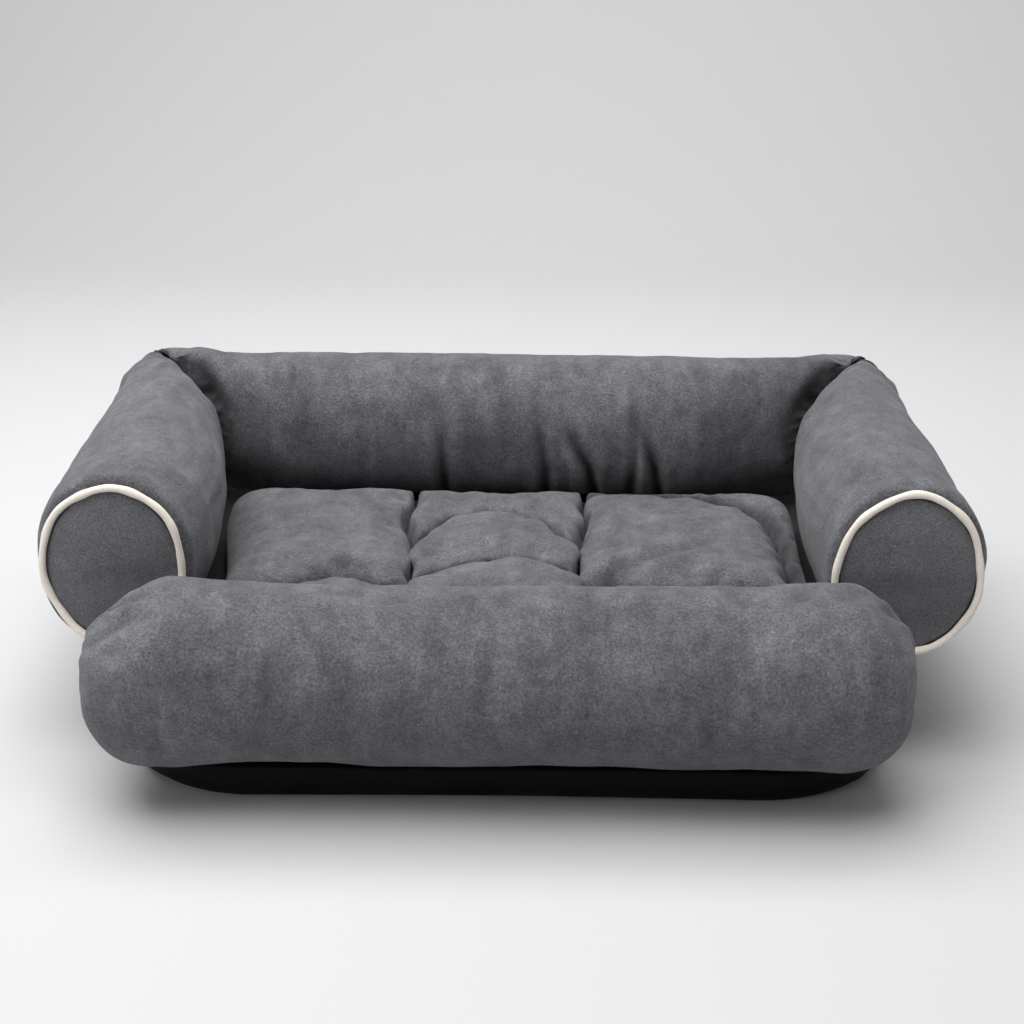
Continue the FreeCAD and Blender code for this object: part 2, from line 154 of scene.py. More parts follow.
# Fills a cloth shell with air. pins is 1 where the cloth is sewn down, slack says
# where it has cloth to spare and keep is the share of the movement that stays.
def inflate(piece, settings, pins, slack, keep=1.0):
    before = getCoords(piece.data)
    pinGroup = piece.vertex_groups.new(name="pins")
    slackGroup = piece.vertex_groups.new(name="slack")
    for index in range(len(before)):
        if pins[index] > 0.01:
            pinGroup.add([index], float(pins[index]), "REPLACE")
        slackGroup.add([index], float(1 - slack[index]), "REPLACE")
    modifier = piece.modifiers.new("cloth", "CLOTH")
    cloth = modifier.settings
    cloth.quality = 5
    cloth.mass = 0.3
    cloth.tension_stiffness = settings["stiffness"]
    cloth.compression_stiffness = settings["stiffness"]
    cloth.shear_stiffness = settings["stiffness"] / 3
    cloth.bending_stiffness = settings["bending"]
    cloth.air_damping = 2
    cloth.use_pressure = True
    cloth.uniform_pressure_force = settings["pressure"]
    cloth.vertex_group_mass = "pins"
    cloth.shrink_min = -settings["slack"]
    cloth.shrink_max = 0
    cloth.vertex_group_shrink = "slack"
    cloth.effector_weights.gravity = 0
    modifier.collision_settings.use_collision = False
    modifier.collision_settings.use_self_collision = False
    modifier.point_cache.frame_start = 1
    modifier.point_cache.frame_end = settings["frames"]
    for step in range(1, settings["frames"] + 1):
        scene.frame_set(step)
    evaluated = piece.evaluated_get(bpy.context.evaluated_depsgraph_get())
    after = getCoords(evaluated.data)
    piece.modifiers.clear()
    piece.vertex_groups.clear()
    scene.frame_set(1)
    move = after - before
    reach = np.linalg.norm(move, axis=1)
    share = keep * np.minimum(1, settings["cap"] / np.maximum(reach, 1e-9))
    setCoords(piece.data, before + move * share[:, None])
    print(f"{piece.name} filled, moved up to {reach.max() * 1000:.0f} mm, mean {reach.mean() * 1000:.1f} mm")


# materials

def newMaterial(name):
    material = bpy.data.materials.new(name)
    material.use_nodes = True
    tree = material.node_tree
    return material, tree, tree.nodes["Principled BSDF"]


def noiseAt(tree, vector, scale, detail=3.0, roughness=0.55, stretch=(1, 1, 1)):
    mapping = tree.nodes.new("ShaderNodeMapping")
    mapping.inputs["Scale"].default_value = stretch
    tree.links.new(vector, mapping.inputs["Vector"])
    made = tree.nodes.new("ShaderNodeTexNoise")
    made.inputs["Scale"].default_value = scale
    made.inputs["Detail"].default_value = detail
    made.inputs["Roughness"].default_value = roughness
    tree.links.new(mapping.outputs["Vector"], made.inputs["Vector"])
    return made.outputs["Fac"]


def spread(tree, value, low, high, fromLow=0.3, fromHigh=0.7):
    made = tree.nodes.new("ShaderNodeMapRange")
    made.inputs["From Min"].default_value = fromLow
    made.inputs["From Max"].default_value = fromHigh
    made.inputs["To Min"].default_value = low
    made.inputs["To Max"].default_value = high
    tree.links.new(value, made.inputs["Value"])
    return made.outputs["Result"]


def combine(tree, operation, first, second):
    made = tree.nodes.new("ShaderNodeMath")
    made.operation = operation
    for socket, value in zip(made.inputs, (first, second)):
        if isinstance(value, (int, float)):
            socket.default_value = value
        else:
            tree.links.new(value, socket)
    return made.outputs["Value"]


# lets a value vary a tone by up to the given share either way
def varied(tree, tone, value, share):
    return combine(tree, "MULTIPLY", tone, spread(tree, value, 1 - share, 1 + share))


def tinted(tree, color, factor):
    made = tree.nodes.new("ShaderNodeVectorMath")
    made.operation = "SCALE"
    made.inputs[0].default_value = color
    tree.links.new(factor, made.inputs["Scale"])
    return made.outputs["Vector"]


def addBump(tree, height, distance, strength=1.0, under=None):
    made = tree.nodes.new("ShaderNodeBump")
    made.inputs["Distance"].default_value = distance
    made.inputs["Strength"].default_value = strength
    tree.links.new(height, made.inputs["Height"])
    if under is not None:
        tree.links.new(under, made.inputs["Normal"])
    return made.outputs["Normal"]


# Brushed suede: cloudy nap, hand streaks, fine fibres and shallow creases, with painted
# shade darkening it where the paintedShade attribute says so.
def suedeMaterial(name, settings):
    material, tree, shader = newMaterial(name)
    place = tree.nodes.new("ShaderNodeTexCoord").outputs["Object"]
    clouds = noiseAt(tree, place, settings["cloudScale"], 6, 0.65)
    patches = noiseAt(tree, place, settings["patchScale"], 8, 0.78)
    folds = noiseAt(tree, place, settings["foldScale"], 2, 0.5, settings["streakStretch"])
    streaks = noiseAt(tree, place, settings["streakScale"], 2, 0.5, settings["streakStretch"])
    fibres = noiseAt(tree, place, settings["fibreScale"], 2, 0.6)
    grain = noiseAt(tree, place, settings["fibreScale"] * 3.1, 1, 0.5)
    mottle = settings["mottle"]
    tone = spread(tree, clouds, 1 - mottle * 0.6, 1 + mottle * 0.6)
    tone = varied(tree, tone, patches, mottle)
    tone = varied(tree, tone, streaks, mottle * 0.5)
    tone = varied(tree, tone, fibres, settings["grain"])
    tone = varied(tree, tone, grain, settings["grain"])
    paintedShade = tree.nodes.new("ShaderNodeAttribute")
    paintedShade.attribute_name = "paintedShade"
    # painted shade: the tone drops to 0.22 of itself where paintedShade is 1
    tone = combine(tree, "MULTIPLY", tone, spread(tree, paintedShade.outputs["Fac"], 1, 0.22, 0, 1))
    tree.links.new(tinted(tree, settings["color"], tone), shader.inputs["Base Color"])
    tree.links.new(spread(tree, patches, 0.86, 0.98), shader.inputs["Roughness"])
    shader.inputs["Specular IOR Level"].default_value = 0.25
    shader.inputs["Sheen Weight"].default_value = settings["sheen"]
    shader.inputs["Sheen Roughness"].default_value = settings["sheenRoughness"]
    shader.inputs["Sheen Tint"].default_value = (1, 1, 1, 1)
    soft = addBump(tree, folds, settings["wrinkle"])
    nap = addBump(tree, fibres, settings["nap"], under=soft)
    fine = addBump(tree, grain, settings["nap"] * 0.5, under=nap)
    tree.links.new(fine, shader.inputs["Normal"])
    return material


suedeLook = {
    "color": (0.116, 0.117, 0.128),
    "cloudScale": 13, "patchScale": 62, "streakScale": 38, "streakStretch": (1.3, 0.5, 0.22),
    "fibreScale": 430, "foldScale": 24, "mottle": 0.32, "grain": 0.31,
    "sheen": 0.15, "sheenRoughness": 0.45, "wrinkle": 0.0050, "nap": 0.0011,
}
endLook = dict(suedeLook, color=(0.138, 0.138, 0.150), mottle=0.14, grain=0.42,
               fibreScale=700, streakStretch=(1, 1, 1), wrinkle=0.0012, sheen=0.28)
suede = suedeMaterial("suede", suedeLook)
endSuede = suedeMaterial("endSuede", endLook)


# Woven cloth on a UV that counts metres: basket of warp and weft threads.
def wovenMaterial(name, settings):
    material, tree, shader = newMaterial(name)
    place = tree.nodes.new("ShaderNodeUVMap").outputs["UV"]
    bend = tree.nodes.new("ShaderNodeSeparateXYZ")
    tree.links.new(place, bend.inputs["Vector"])
    turns = 2 * math.pi / settings["pitch"]
    waves = []
    for axis in ("X", "Y"):
        angle = combine(tree, "MULTIPLY", bend.outputs[axis], turns)
        waves.append(combine(tree, "SINE", angle, 0.0))
    weave = combine(tree, "MULTIPLY", waves[0], waves[1])
    height = spread(tree, weave, 0, 1, -1, 1)
    solid = tree.nodes.new("ShaderNodeTexCoord").outputs["Object"]
    dust = noiseAt(tree, solid, 14, 4, 0.6)
    slub = noiseAt(tree, solid, 420, 2, 0.6)
    depth = settings["contrast"]
    tone = spread(tree, height, 1 - depth * 1.3, 1 + depth, 0, 1)
    tone = varied(tree, tone, dust, depth / 2)
    tone = varied(tree, tone, slub, depth / 2)
    tree.links.new(tinted(tree, settings["color"], tone), shader.inputs["Base Color"])
    tree.links.new(spread(tree, slub, settings["roughness"] - 0.08, settings["roughness"] + 0.08),
              shader.inputs["Roughness"])
    shader.inputs["Specular IOR Level"].default_value = settings["specular"]
    shader.inputs["Sheen Weight"].default_value = settings["sheen"]
    coarse = addBump(tree, dust, 0.002)
    tree.links.new(addBump(tree, height, settings["relief"], under=coarse), shader.inputs["Normal"])
    return material


oxford = wovenMaterial("oxford", {
    "color": (0.0018, 0.0018, 0.0020), "pitch": 0.0022, "roughness": 0.6, "specular": 0.14,
    "sheen": 0.0, "relief": 0.0004, "contrast": 0.5,
})
tapeCloth = wovenMaterial("tapeCloth", {
    "color": (0.04, 0.04, 0.045), "pitch": 0.0012, "roughness": 0.8, "specular": 0.25,
    "sheen": 0.1, "relief": 0.00015, "contrast": 0.3,
})
pipingCloth = wovenMaterial("pipingCloth", {
    "color": (0.88, 0.815, 0.725), "pitch": 0.0018, "roughness": 0.85, "specular": 0.25,
    "sheen": 0.2, "relief": 0.0002, "contrast": 0.10,
})


def hardMaterial(name, color, metallic, roughness, scratch):
    material, tree, shader = newMaterial(name)
    place = tree.nodes.new("ShaderNodeTexCoord").outputs["Object"]
    wear = noiseAt(tree, place, 900, 3, 0.6, (0.1, 1, 1))
    tree.links.new(tinted(tree, color, spread(tree, wear, 0.85, 1.12)), shader.inputs["Base Color"])
    tree.links.new(spread(tree, wear, roughness - 0.1, roughness + 0.12), shader.inputs["Roughness"])
    shader.inputs["Metallic"].default_value = metallic
    tree.links.new(addBump(tree, wear, scratch), shader.inputs["Normal"])
    return material


zipMetal = hardMaterial("zipMetal", (0.42, 0.42, 0.44), 1.0, 0.34, 0.00004)
coilPlastic = hardMaterial("coilPlastic", (0.03, 0.03, 0.033), 0.0, 0.42, 0.00003)
stitchThread = hardMaterial("stitchThread", (0.16, 0.16, 0.175), 0.0, 0.75, 0.00003)
print("materials made")


# tubes: a unit tube is spun ring by ring, then mapped onto a roll

def unitTube(rings, around):
    bm = bmesh.new()
    bmesh.ops.create_circle(bm, segments=around, radius=1)
    bmesh.ops.spin(bm, geom=bm.verts[:] + bm.edges[:], cent=(0, 0, 0), axis=(0, 0, 1),
                   dvec=(0, 0, 1), angle=0, steps=rings - 1)
    for level in (0, rings - 1):
        ring = [v for v in bm.verts if abs(v.co.z - level) < 0.01]
        bmesh.ops.pointmerge(bm, verts=ring, merge_co=(0, 0, level))
    return bm


# Ring plan for one end: (distance from the end, share of the closing cap, share of the
# rounded shoulder). The shoulder grows from the rim to the full section over its depth.
def endPlan(shoulder, step, capRings=6):
    cap = [(0.0, i / capRings, 0.0) for i in range(capRings)]
    count = max(4, round(shoulder * 1.3 / step))
    turn = [math.pi / 2 * i / count for i in range(count)]
    return cap + [(shoulder * (1 - math.cos(t)), 1.0, math.sin(t)) for t in turn]


def ringPlan(length, startEnd, finishEnd, step):
    last = [(length - along, cap, grown) for along, cap, grown in reversed(finishEnd)]
    start, finish = startEnd[-1][0], last[0][0]
    count = round((finish - start) / step)
    middle = [(start + (finish - start) * i / count, 1.0, 1.0) for i in range(1, count)]
    return np.array(startEnd + middle + last)


def tubeParameters(piece, plan):
    coords = getCoords(piece.data)
    ring = np.rint(coords[:, 2]).astype(int)
    pole = np.hypot(coords[:, 0], coords[:, 1]) < 0.5
    angle = np.where(pole, 0, np.arctan2(coords[:, 0], coords[:, 1]))
    return plan[ring, 0], np.where(pole, 0, plan[ring, 1]), plan[ring, 2], angle


# rounded-square section when power is over 2
def section(angle, power):
    across = np.sign(np.sin(angle)) * np.abs(np.sin(angle)) ** (2 / power)
    up = np.sign(np.cos(angle)) * np.abs(np.cos(angle)) ** (2 / power)
    return across, up


# an angle round a roll counts as this many metres per radian
creaseRadius = 0.085
# a crease this deep gets as much painted shade as a sewn ditch
fullShadeDepth = 0.009


# A crease pressed into the cloth along a path of (along, angle in degrees, depth)
# points, with a soft ridge on each side. along and angle are given per vertex.
# Returns how deep in the valley each vertex lies, about 0 to 1, as the amount of painted shade in the crease.
def crease(move, along, degrees, path, width, ridge):
    flat = np.column_stack([along, np.radians(degrees) * creaseRadius])
    best = np.full(len(flat), 1e9)
    depth = np.zeros(len(flat))
    for (a0, d0, h0), (a1, d1, h1) in zip(path[:-1], path[1:]):
        start = np.array([a0, math.radians(d0) * creaseRadius])
        span = np.array([a1, math.radians(d1) * creaseRadius]) - start
        share = np.clip((flat - start) @ span / (span @ span), 0, 1)
        gap = np.linalg.norm(flat - start - share[:, None] * span, axis=1)
        nearer = gap < best
        best[nearer] = gap[nearer]
        depth[nearer] = (h0 + (h1 - h0) * share)[nearer]
    valley = bell(best, 0, width)
    shoulders = bell(best, width * 2.1, width * 1.1)
    move += depth * (ridge * shoulders - valley)
    return bell(best, 0, width * 0.8) * depth / fullShadeDepth


# presses all the creases of a piece and sums their painted shade
def pressCreases(move, along, degrees, creases):
    return sum(crease(move, along, degrees, *given) for given in creases)


# the mitred corner: both covers share this section where they are sewn together
corner = {
    "centre": -0.030, "nestWidth": 0.070, "outerWidth": 0.054, "halfHeight": 0.0795, "gap": 0.0005,
    "outside": 0.97, "nestPull": 0.29, "underPull": 0.10, "ear": 0.045, "shoulder": 0.036,
    "valley": 0.0050, "valleyRidge": 0.0012,
}


# Keeps a cover on its own side of the mitre plane, flat against its neighbour.
def holdAtMitre(coords, side, armSide, gap):
    over = (coords[:, 1] - rearY) - (coords[:, 0] * side - armX)
    if armSide:
        push = np.maximum(0, over + gap)
    else:
        push = np.minimum(0, over - gap)
    coords[:, 0] += side * push / 2
    coords[:, 1] -= push / 2


# a narrow sewn valley along the mitre, on top only, and the painted shade along it
def seamValley(coords, normals):
    away = np.abs((coords[:, 1] - rearY) - (np.abs(coords[:, 0]) - armX)) / math.sqrt(2)
    shown = ease(-0.5, 0.0, normals[:, 2])
    move = corner["valleyRidge"] * bell(away, 0.024, 0.010) - corner["valley"] * bell(away, 0, 0.009)
    return move * shown, 0.85 * bell(away, 0, 0.0065) * shown


# How far out the mitre seam runs: pulled in above the nest and below, with a
# small ear at the top. across is 1 on the nest side, up is 1 on top.
def seamShare(across, up):
    turn = np.degrees(np.arctan2(across, up))
    share = corner["outside"] - corner["nestPull"] * bell(turn, 42, 34)
    share -= corner["underPull"] * ease(0.2, 1, -up)
    return share + corner["ear"] * bell(turn, -12, 13)


# arm rolls
armLook = {
    "step": 0.0052, "around": 104, "rimShare": 0.94, "rimShoulder": 0.014, "mitreRunIn": 0.26,
    "power": 2.25, "lower": 0.004, "nestDip": 0.11, "lumpHeight": 0.0022, "fineLumps": 0.0011,
    "bandHeight": 0.0034,
    "left": {"rimCentre": 0.3668, "rimHalfWidth": 0.0705, "centre": 0.3670, "halfWidth": 0.080},
    "right": {"rimCentre": 0.3733, "rimHalfWidth": 0.0725, "centre": 0.3740, "halfWidth": 0.077},
    "cloth": {"pressure": 3.0, "stiffness": 12, "bending": 0.6, "slack": 0.07, "frames": 14, "cap": 0.008},
}

# tucks beside the mitre: distance from the seam, angle and depth
armCreases = [
    ([(0.058, -42, 0.001), (0.036, -8, 0.0035), (0.020, 24, 0.003), (0.010, 46, 0.001)], 0.006, 0.7),
    ([(0.075, 30, 0.0005), (0.050, 52, 0.0022), (0.030, 70, 0.002)], 0.007, 0.6),
]


def buildArm(side):
    name = "left_arm" if side < 0 else "right_arm"
    look = armLook
    front = armLow.y
    length = rearY - front
    plan = ringPlan(length, endPlan(look["rimShoulder"], look["step"]),
                    endPlan(corner["shoulder"], look["step"]), look["step"])
    piece = makePiece(name, unitTube(len(plan), look["around"]), suede)
    along, cap, grown, angle = tubeParameters(piece, plan)
    across, up = section(angle, look["power"])
    turned = np.degrees(np.arctan2(across, up))
    run, behind = along / length, length - along
    rim = np.where(along < length / 2, look["rimShare"], seamShare(across, up))
    size = cap * (rim + (1 - rim) * grown)
    size *= 1 - look["nestDip"] * bell(turned, 34, 30) * ease(0.11, 0.0, behind)
    own = look["left" if side < 0 else "right"]
    # the roll starts at the end panel, swells behind it, then narrows to the corner
    swell = ease(0, 0.075, along)
    halfWidth = own["rimHalfWidth"] + (own["halfWidth"] - own["rimHalfWidth"]) * swell
    cornerWidth = np.where(across > 0, corner["nestWidth"], corner["outerWidth"])
    halfWidth += (cornerWidth - own["halfWidth"]) * ease(0.30, 1.0, run)
    centre = -own["rimCentre"] - (own["centre"] - own["rimCentre"]) * swell
    centre += (corner["centre"] - armX + own["centre"]) * ease(0.15, 1.0, run)
    fullHeight = rollHalfHeight - look["lower"]
    halfHeight = fullHeight - 0.001 * (1 - swell) + (corner["halfHeight"] - fullHeight) * ease(0.3, 1, run)
    x = centre + halfWidth * across * size
    z = rollZ + halfHeight * up * size
    sheared = ease(1 - look["mitreRunIn"] / length, 1, run)
    mitreY = rearY - (x + armX) - behind
    y = (front + along) * (1 - sheared) + mitreY * sheared
    coords = np.column_stack([x, y, z])
    holdAtMitre(coords, -1, True, corner["gap"])
    setCoords(piece.data, coords)
    faceOut(piece)
    inside = (along < 1e-6) | (behind < 1e-6)
    rimSlack = bell(along, 0.012, 0.03) * 0.35
    seamSlack = bell(behind, 0.015, 0.05)
    keep = 1 - 0.85 * ease(0.15, 0.0, behind) * ease(-0.5, 0.4, up)
    inflate(piece, look["cloth"], inside, np.clip(rimSlack + seamSlack, 0, 1), keep)
    coords = getCoords(piece.data)
    normals = getNormals(piece.data)
    free = ease(0.002, 0.02, along) * ease(0.0, 0.02, behind)
    seed = 11 if side < 0 else 23
    move = look["lumpHeight"] * lumps(coords, (0.07, 0.12, 0.07), seed) * free
    move += look["fineLumps"] * lumps(coords, (0.022, 0.06, 0.022), seed + 1) * free
    # soft bands that run parallel with the mitre seam
    bands = bell(behind, 0.062, 0.012) + 0.8 * bell(behind, 0.098, 0.014) + 0.5 * bell(behind, 0.140, 0.016)
    bands -= 1.6 * bell(behind, 0.028, 0.014)
    move += look["bandHeight"] * bands * ease(-0.6, 0.3, up) * free
    valley, paintedShade = seamValley(coords, normals)
    move += valley
    # painted shade on the arm's lower nest side, below its widest point, plus painted shade in its creases
    paintedShade += 0.95 * ease(95, 125, turned)
    paintedShade += pressCreases(move, behind, turned, armCreases)
    # long soft folds on the side that faces the nest
    for turn, depth in ((38, 0.0014), (56, 0.0018), (74, 0.0016)):
        fold = bell(turned, turn + 6 * np.sin(along * 14 + turn), 4)
        move -= depth * fold * ease(0.03, 0.12, along) * ease(0.02, 0.2, behind)
    coords += normals * move[:, None]
    holdAtMitre(coords, -1, True, corner["gap"])
    coords[:, 1] = np.maximum(coords[:, 1], front)
    if side > 0:
        coords[:, 0] *= -1
        piece.data.flip_normals()
    setCoords(piece.data, coords)
    markPaintedShade(piece, paintedShade)
    refine(piece)
    settle(piece, "bed", (f"{name}_cover", f"{name}_fill"))


for side in (-1, 1):
    buildArm(side)
print("arms made")


# rear roll
rearLook = {
    "step": 0.0052, "around": 104, "halfWidth": 0.075, "halfHeight": 0.0885, "runIn": 0.16,
    "power": 2.08, "lumpHeight": 0.0022, "fineLumps": 0.0011,
    "cloth": {"pressure": 3.0, "stiffness": 12, "bending": 0.6, "slack": 0.07, "frames": 14, "cap": 0.008},
}


def buildRearRoll():
    look = rearLook
    length = 2 * armX
    end = endPlan(corner["shoulder"], look["step"])
    plan = ringPlan(length, end, end, look["step"])
    piece = makePiece("rear_roll", unitTube(len(plan), look["around"]), suede)
    along, cap, grown, angle = tubeParameters(piece, plan)
    across, up = section(angle, look["power"])
    fromEnd = np.minimum(along, length - along)
    rim = seamShare(across, up)
    size = cap * (rim + (1 - rim) * grown)
    swell = ease(0, look["runIn"], fromEnd)
    cornerWidth = np.where(across > 0, corner["nestWidth"], corner["outerWidth"])
    halfWidth = cornerWidth + (look["halfWidth"] - cornerWidth) * swell
    halfHeight = corner["halfHeight"] + (look["halfHeight"] - corner["halfHeight"]) * swell
    centre = rearY - corner["centre"] * (1 - swell)
    y = centre - halfWidth * across * size
    z = rollZ + halfHeight * up * size
    side = np.where(along < length / 2, -1, 1)
    sheared = 1 - ease(0, 0.2, fromEnd)
    straight = -armX + along
    mitred = side * (armX + (y - rearY) - fromEnd)
    x = straight * (1 - sheared) + mitred * sheared
    setCoords(piece.data, np.column_stack([x, y, z]))
    faceOut(piece)
    inside = fromEnd < 1e-6
    inflate(piece, look["cloth"], inside, bell(fromEnd, 0.015, 0.06))
    coords = getCoords(piece.data)
    normals = getNormals(piece.data)
    free = ease(0, 0.02, fromEnd)
    move = look["lumpHeight"] * lumps(coords, (0.13, 0.07, 0.07), 31) * free
    move += look["fineLumps"] * lumps(coords, (0.035, 0.05, 0.05), 32) * free
    degrees = np.degrees(np.arctan2((rearY - coords[:, 1]) / look["halfWidth"],
                                    (coords[:, 2] - rollZ) / look["halfHeight"]))
    valley, paintedShade = seamValley(coords, normals)
    move += valley
    # painted shade on the rear roll's lower front, below its widest point, plus painted shade in its creases
    paintedShade += 0.85 * ease(98, 138, degrees)
    paintedShade += pressCreases(move, coords[:, 0], degrees, rearCreases)
    coords += normals * move[:, None]
    holdAtMitre(coords, -1, False, corner["gap"])
    holdAtMitre(coords, 1, False, corner["gap"])
    coords[:, 2] = np.maximum(coords[:, 2], rearLow.z)
    setCoords(piece.data, coords)
    markPaintedShade(piece, paintedShade)
    refine(piece)
    settle(piece, "bed", ("rear_roll_cover", "rear_roll_fill"))


rearCreases = [
    ([(-0.252, -8, 0.0012), (-0.246, 40, 0.0048), (-0.245, 66, 0.0008)], 0.006, 0.6),
    ([(-0.079, 62, 0.0005), (-0.074, 105, 0.0070), (-0.070, 142, 0.0095)], 0.0060, 0.5),
    ([(0.030, 60, 0.0005), (0.042, 108, 0.0080), (0.045, 142, 0.0100)], 0.0058, 0.5),
    ([(0.058, 72, 0.0010), (0.092, 108, 0.0115), (0.102, 142, 0.0130)], 0.0065, 0.7),
    ([(0.140, 44, 0.0006), (0.142, 96, 0.0060), (0.140, 142, 0.0090)], 0.0050, 0.5),
    ([(0.148, 74, 0.0010), (0.166, 108, 0.0115), (0.176, 142, 0.0120)], 0.0065, 0.7),
    ([(-0.362, -4, 0.001), (-0.349, 22, 0.0045), (-0.335, 46, 0.004), (-0.322, 64, 0.0015)], 0.006, 0.8),
    ([(0.362, 6, 0.0006), (0.346, 34, 0.004), (0.330, 60, 0.001)], 0.007, 0.7),
]
buildRearRoll()
print("rear roll made")


# front roll
frontLook = {
    "step": 0.0052, "around": 104, "leftEnd": -0.373, "rightEnd": 0.3585, "endRim": 0.34, "endRound": 0.062,
    "halfWidth": 0.074, "halfHeight": 0.081, "power": 2.25, "endBulge": 0.004,
    "leftTuck": 0.017, "rightTuck": 0.010, "lumpHeight": 0.0040, "fineLumps": 0.0012,
    "cloth": {"pressure": 3.0, "stiffness": 12, "bending": 0.6, "slack": 0.06, "frames": 14, "cap": 0.009},
}


def buildFrontRoll():
    look = frontLook
    length = look["rightEnd"] - look["leftEnd"]
    end = endPlan(look["endRound"], look["step"], 8)
    plan = ringPlan(length, end, end, look["step"])
    piece = makePiece("front_roll", unitTube(len(plan), look["around"]), suede)
    along, cap, grown, angle = tubeParameters(piece, plan)
    size = cap * (look["endRim"] + (1 - look["endRim"]) * grown)
    across, up = section(angle, look["power"])
    fromEnd = np.minimum(along, length - along)
    x = look["leftEnd"] + along
    y = frontY - look["halfWidth"] * across * size
    z = frontZ + look["halfHeight"] * up * size
    x += np.where(along < length / 2, -1, 1) * look["endBulge"] * (1 - cap ** 2)
    # the upper corners of both ends are drawn in
    tuck = look["leftTuck"] * ease(-0.300, -0.352, x) + look["rightTuck"] * ease(0.305, 0.350, x)
    z -= tuck * ease(0.1, 0.9, up * size)
    setCoords(piece.data, np.column_stack([x, y, z]))
    faceOut(piece)
    pins = (fromEnd < 1e-6) & (cap > 0.9)
    inflate(piece, look["cloth"], pins * 0.9, bell(fromEnd, 0.03, 0.07))
    coords = getCoords(piece.data)
    normals = getNormals(piece.data)
    move = look["lumpHeight"] * lumps(coords, (0.15, 0.09, 0.09), 41)
    move += look["fineLumps"] * lumps(coords, (0.045, 0.04, 0.04), 42)
    degrees = np.degrees(np.arctan2((frontY - coords[:, 1]) / frontHalfWidth,
                                    (coords[:, 2] - frontZ) / frontHalfHeight))
    # painted shade down the front roll's lower front, plus painted shade in its creases
    paintedShade = 0.30 * ease(70, 135, degrees)
    paintedShade += 0.7 * pressCreases(move, coords[:, 0], degrees, frontCreases)
    coords += normals * move[:, None]
    setCoords(piece.data, coords)
    markPaintedShade(piece, paintedShade)
    refine(piece)
    settle(piece, "bed", ("front_roll_cover", "front_roll_fill"))


frontCreases = [
    ([(-0.362, 44, 0.002), (-0.338, 34, 0.0035), (-0.312, 30, 0.0005)], 0.008, 0.6),
    ([(-0.358, 4, 0.003), (-0.338, 8, 0.0065), (-0.306, 18, 0.0005)], 0.0065, 1.0),
    ([(0.352, -6, 0.003), (0.338, 6, 0.0050), (0.322, 22, 0.0005)], 0.0065, 0.9),
    ([(-0.165, -4, 0.001), (-0.150, 4, 0.003), (-0.110, 10, 0.0005)], 0.009, 0.6),
    ([(0.020, 0, 0.0005), (0.048, 6, 0.003), (0.075, 16, 0.0005)], 0.009, 0.6),
    ([(0.190, -4, 0.001), (0.2075, 12, 0.0045), (0.222, 32, 0.0005)], 0.008, 0.8),
    ([(0.268, -12, 0.004), (0.258, 4, 0.005), (0.246, 26, 0.0005)], 0.009, 0.8),
    ([(0.318, -8, 0.003), (0.305, 8, 0.0035), (0.285, 26, 0.0005)], 0.009, 0.6),
]
buildFrontRoll()
print("front roll made")


# loose cushion with sewn pockets
cushionLook = {
    "step": 0.0052, "round": 0.045, "lumpHeight": 0.0016,
    "frontWidth": 0.281, "rearWidth": 0.305, "rightRear": 0.006, "rightFront": 0.021,
    "wallTop": 0.134, "wallBottom": 0.112, "crown": 0.149, "frontRise": 0.006, "archRise": 0.003,
    # paintedShade is how wide the painted shade along each sewn line is
    "rimCrown": 0.150, "domeDepth": 0.034, "paintedShade": 0.0068,
    "cloth": {"pressure": 4.0, "stiffness": 10, "bending": 0.6, "slack": 0.05, "frames": 14, "cap": 0.009},
}
# kinds of sewn line: how low it is pulled, how wide the pocket's shoulder is, how far
# the pockets lean over it
columnSeam = {"low": 0.100, "shoulder": 0.021, "lean": 0.0085}
archSeam = {"low": 0.119, "shoulder": 0.024, "lean": 0.006}
frontArchSeam = {"low": 0.120, "shoulder": 0.024, "lean": 0.006}
frontSeam = {"low": 0.128, "shoulder": 0.030, "lean": 0.002}
# the rim has its own, wider painted shade
rimSeam = {"low": 0.106, "shoulder": 0.019, "lean": 0.0, "paintedShade": 0.0105}
archPath = [(-0.098, -0.045), (-0.082, 0.030), (-0.058, 0.083), (-0.030, 0.100), (0.002, 0.095),
            (0.040, 0.064), (0.063, 0.008), (0.073, -0.04)]
rimPath = [(0.080, 0.158), (0.125, 0.166), (0.170, 0.166), (0.210, 0.154), (0.244, 0.122), (0.262, 0.07),
           (0.268, 0.0), (0.272, -0.12)]
cushionSeams = [
    (columnSeam, [(-0.097, 0.182), (-0.100, 0.08), (-0.099, -0.05), (-0.096, -0.188)]),
    (columnSeam, [(0.082, 0.182), (0.077, 0.08), (0.072, -0.05), (0.076, -0.188)]),
    (archSeam, archPath),
    (frontArchSeam, [(-0.098, -0.125), (-0.076, -0.100), (-0.052, -0.072), (-0.02, -0.058), (0.015, -0.058),
                     (0.050, -0.072), (0.074, -0.110)]),
    (frontSeam, [(-0.290, -0.132), (-0.21, -0.120), (-0.170, -0.100), (-0.098, -0.122)]),
    (frontSeam, [(0.074, -0.128), (0.105, -0.116), (0.17, -0.124), (0.290, -0.130)]),
    (rimSeam, rimPath),
]


# distance from plan points to a line of joined points, and the step that reaches it
def distanceTo(points, path):
    best = np.full(len(points), 1e9)
    step = np.zeros_like(points)
    for start, finish in zip(path[:-1], path[1:]):
        start, finish = np.array(start), np.array(finish)
        span = finish - start
        share = np.clip((points - start) @ span / (span @ span), 0, 1)
        away = start + share[:, None] * span - points
        gap = np.linalg.norm(away, axis=1)
        nearer = gap < best
        best[nearer] = gap[nearer]
        step[nearer] = away[nearer]
    return best, step


# the right edge lies against the arm all the way to the front roll
def cushionExtra(y):
    look = cushionLook
    return look["rightFront"] + (look["rightRear"] - look["rightFront"]) * ease(-0.12, 0.10, y)


# half the cushion's width, wider under the arms at the rear
def cushionReach(y):
    look = cushionLook
    return look["rearWidth"] + (look["frontWidth"] - look["rearWidth"]) * ease(-0.12, 0.10, -y)


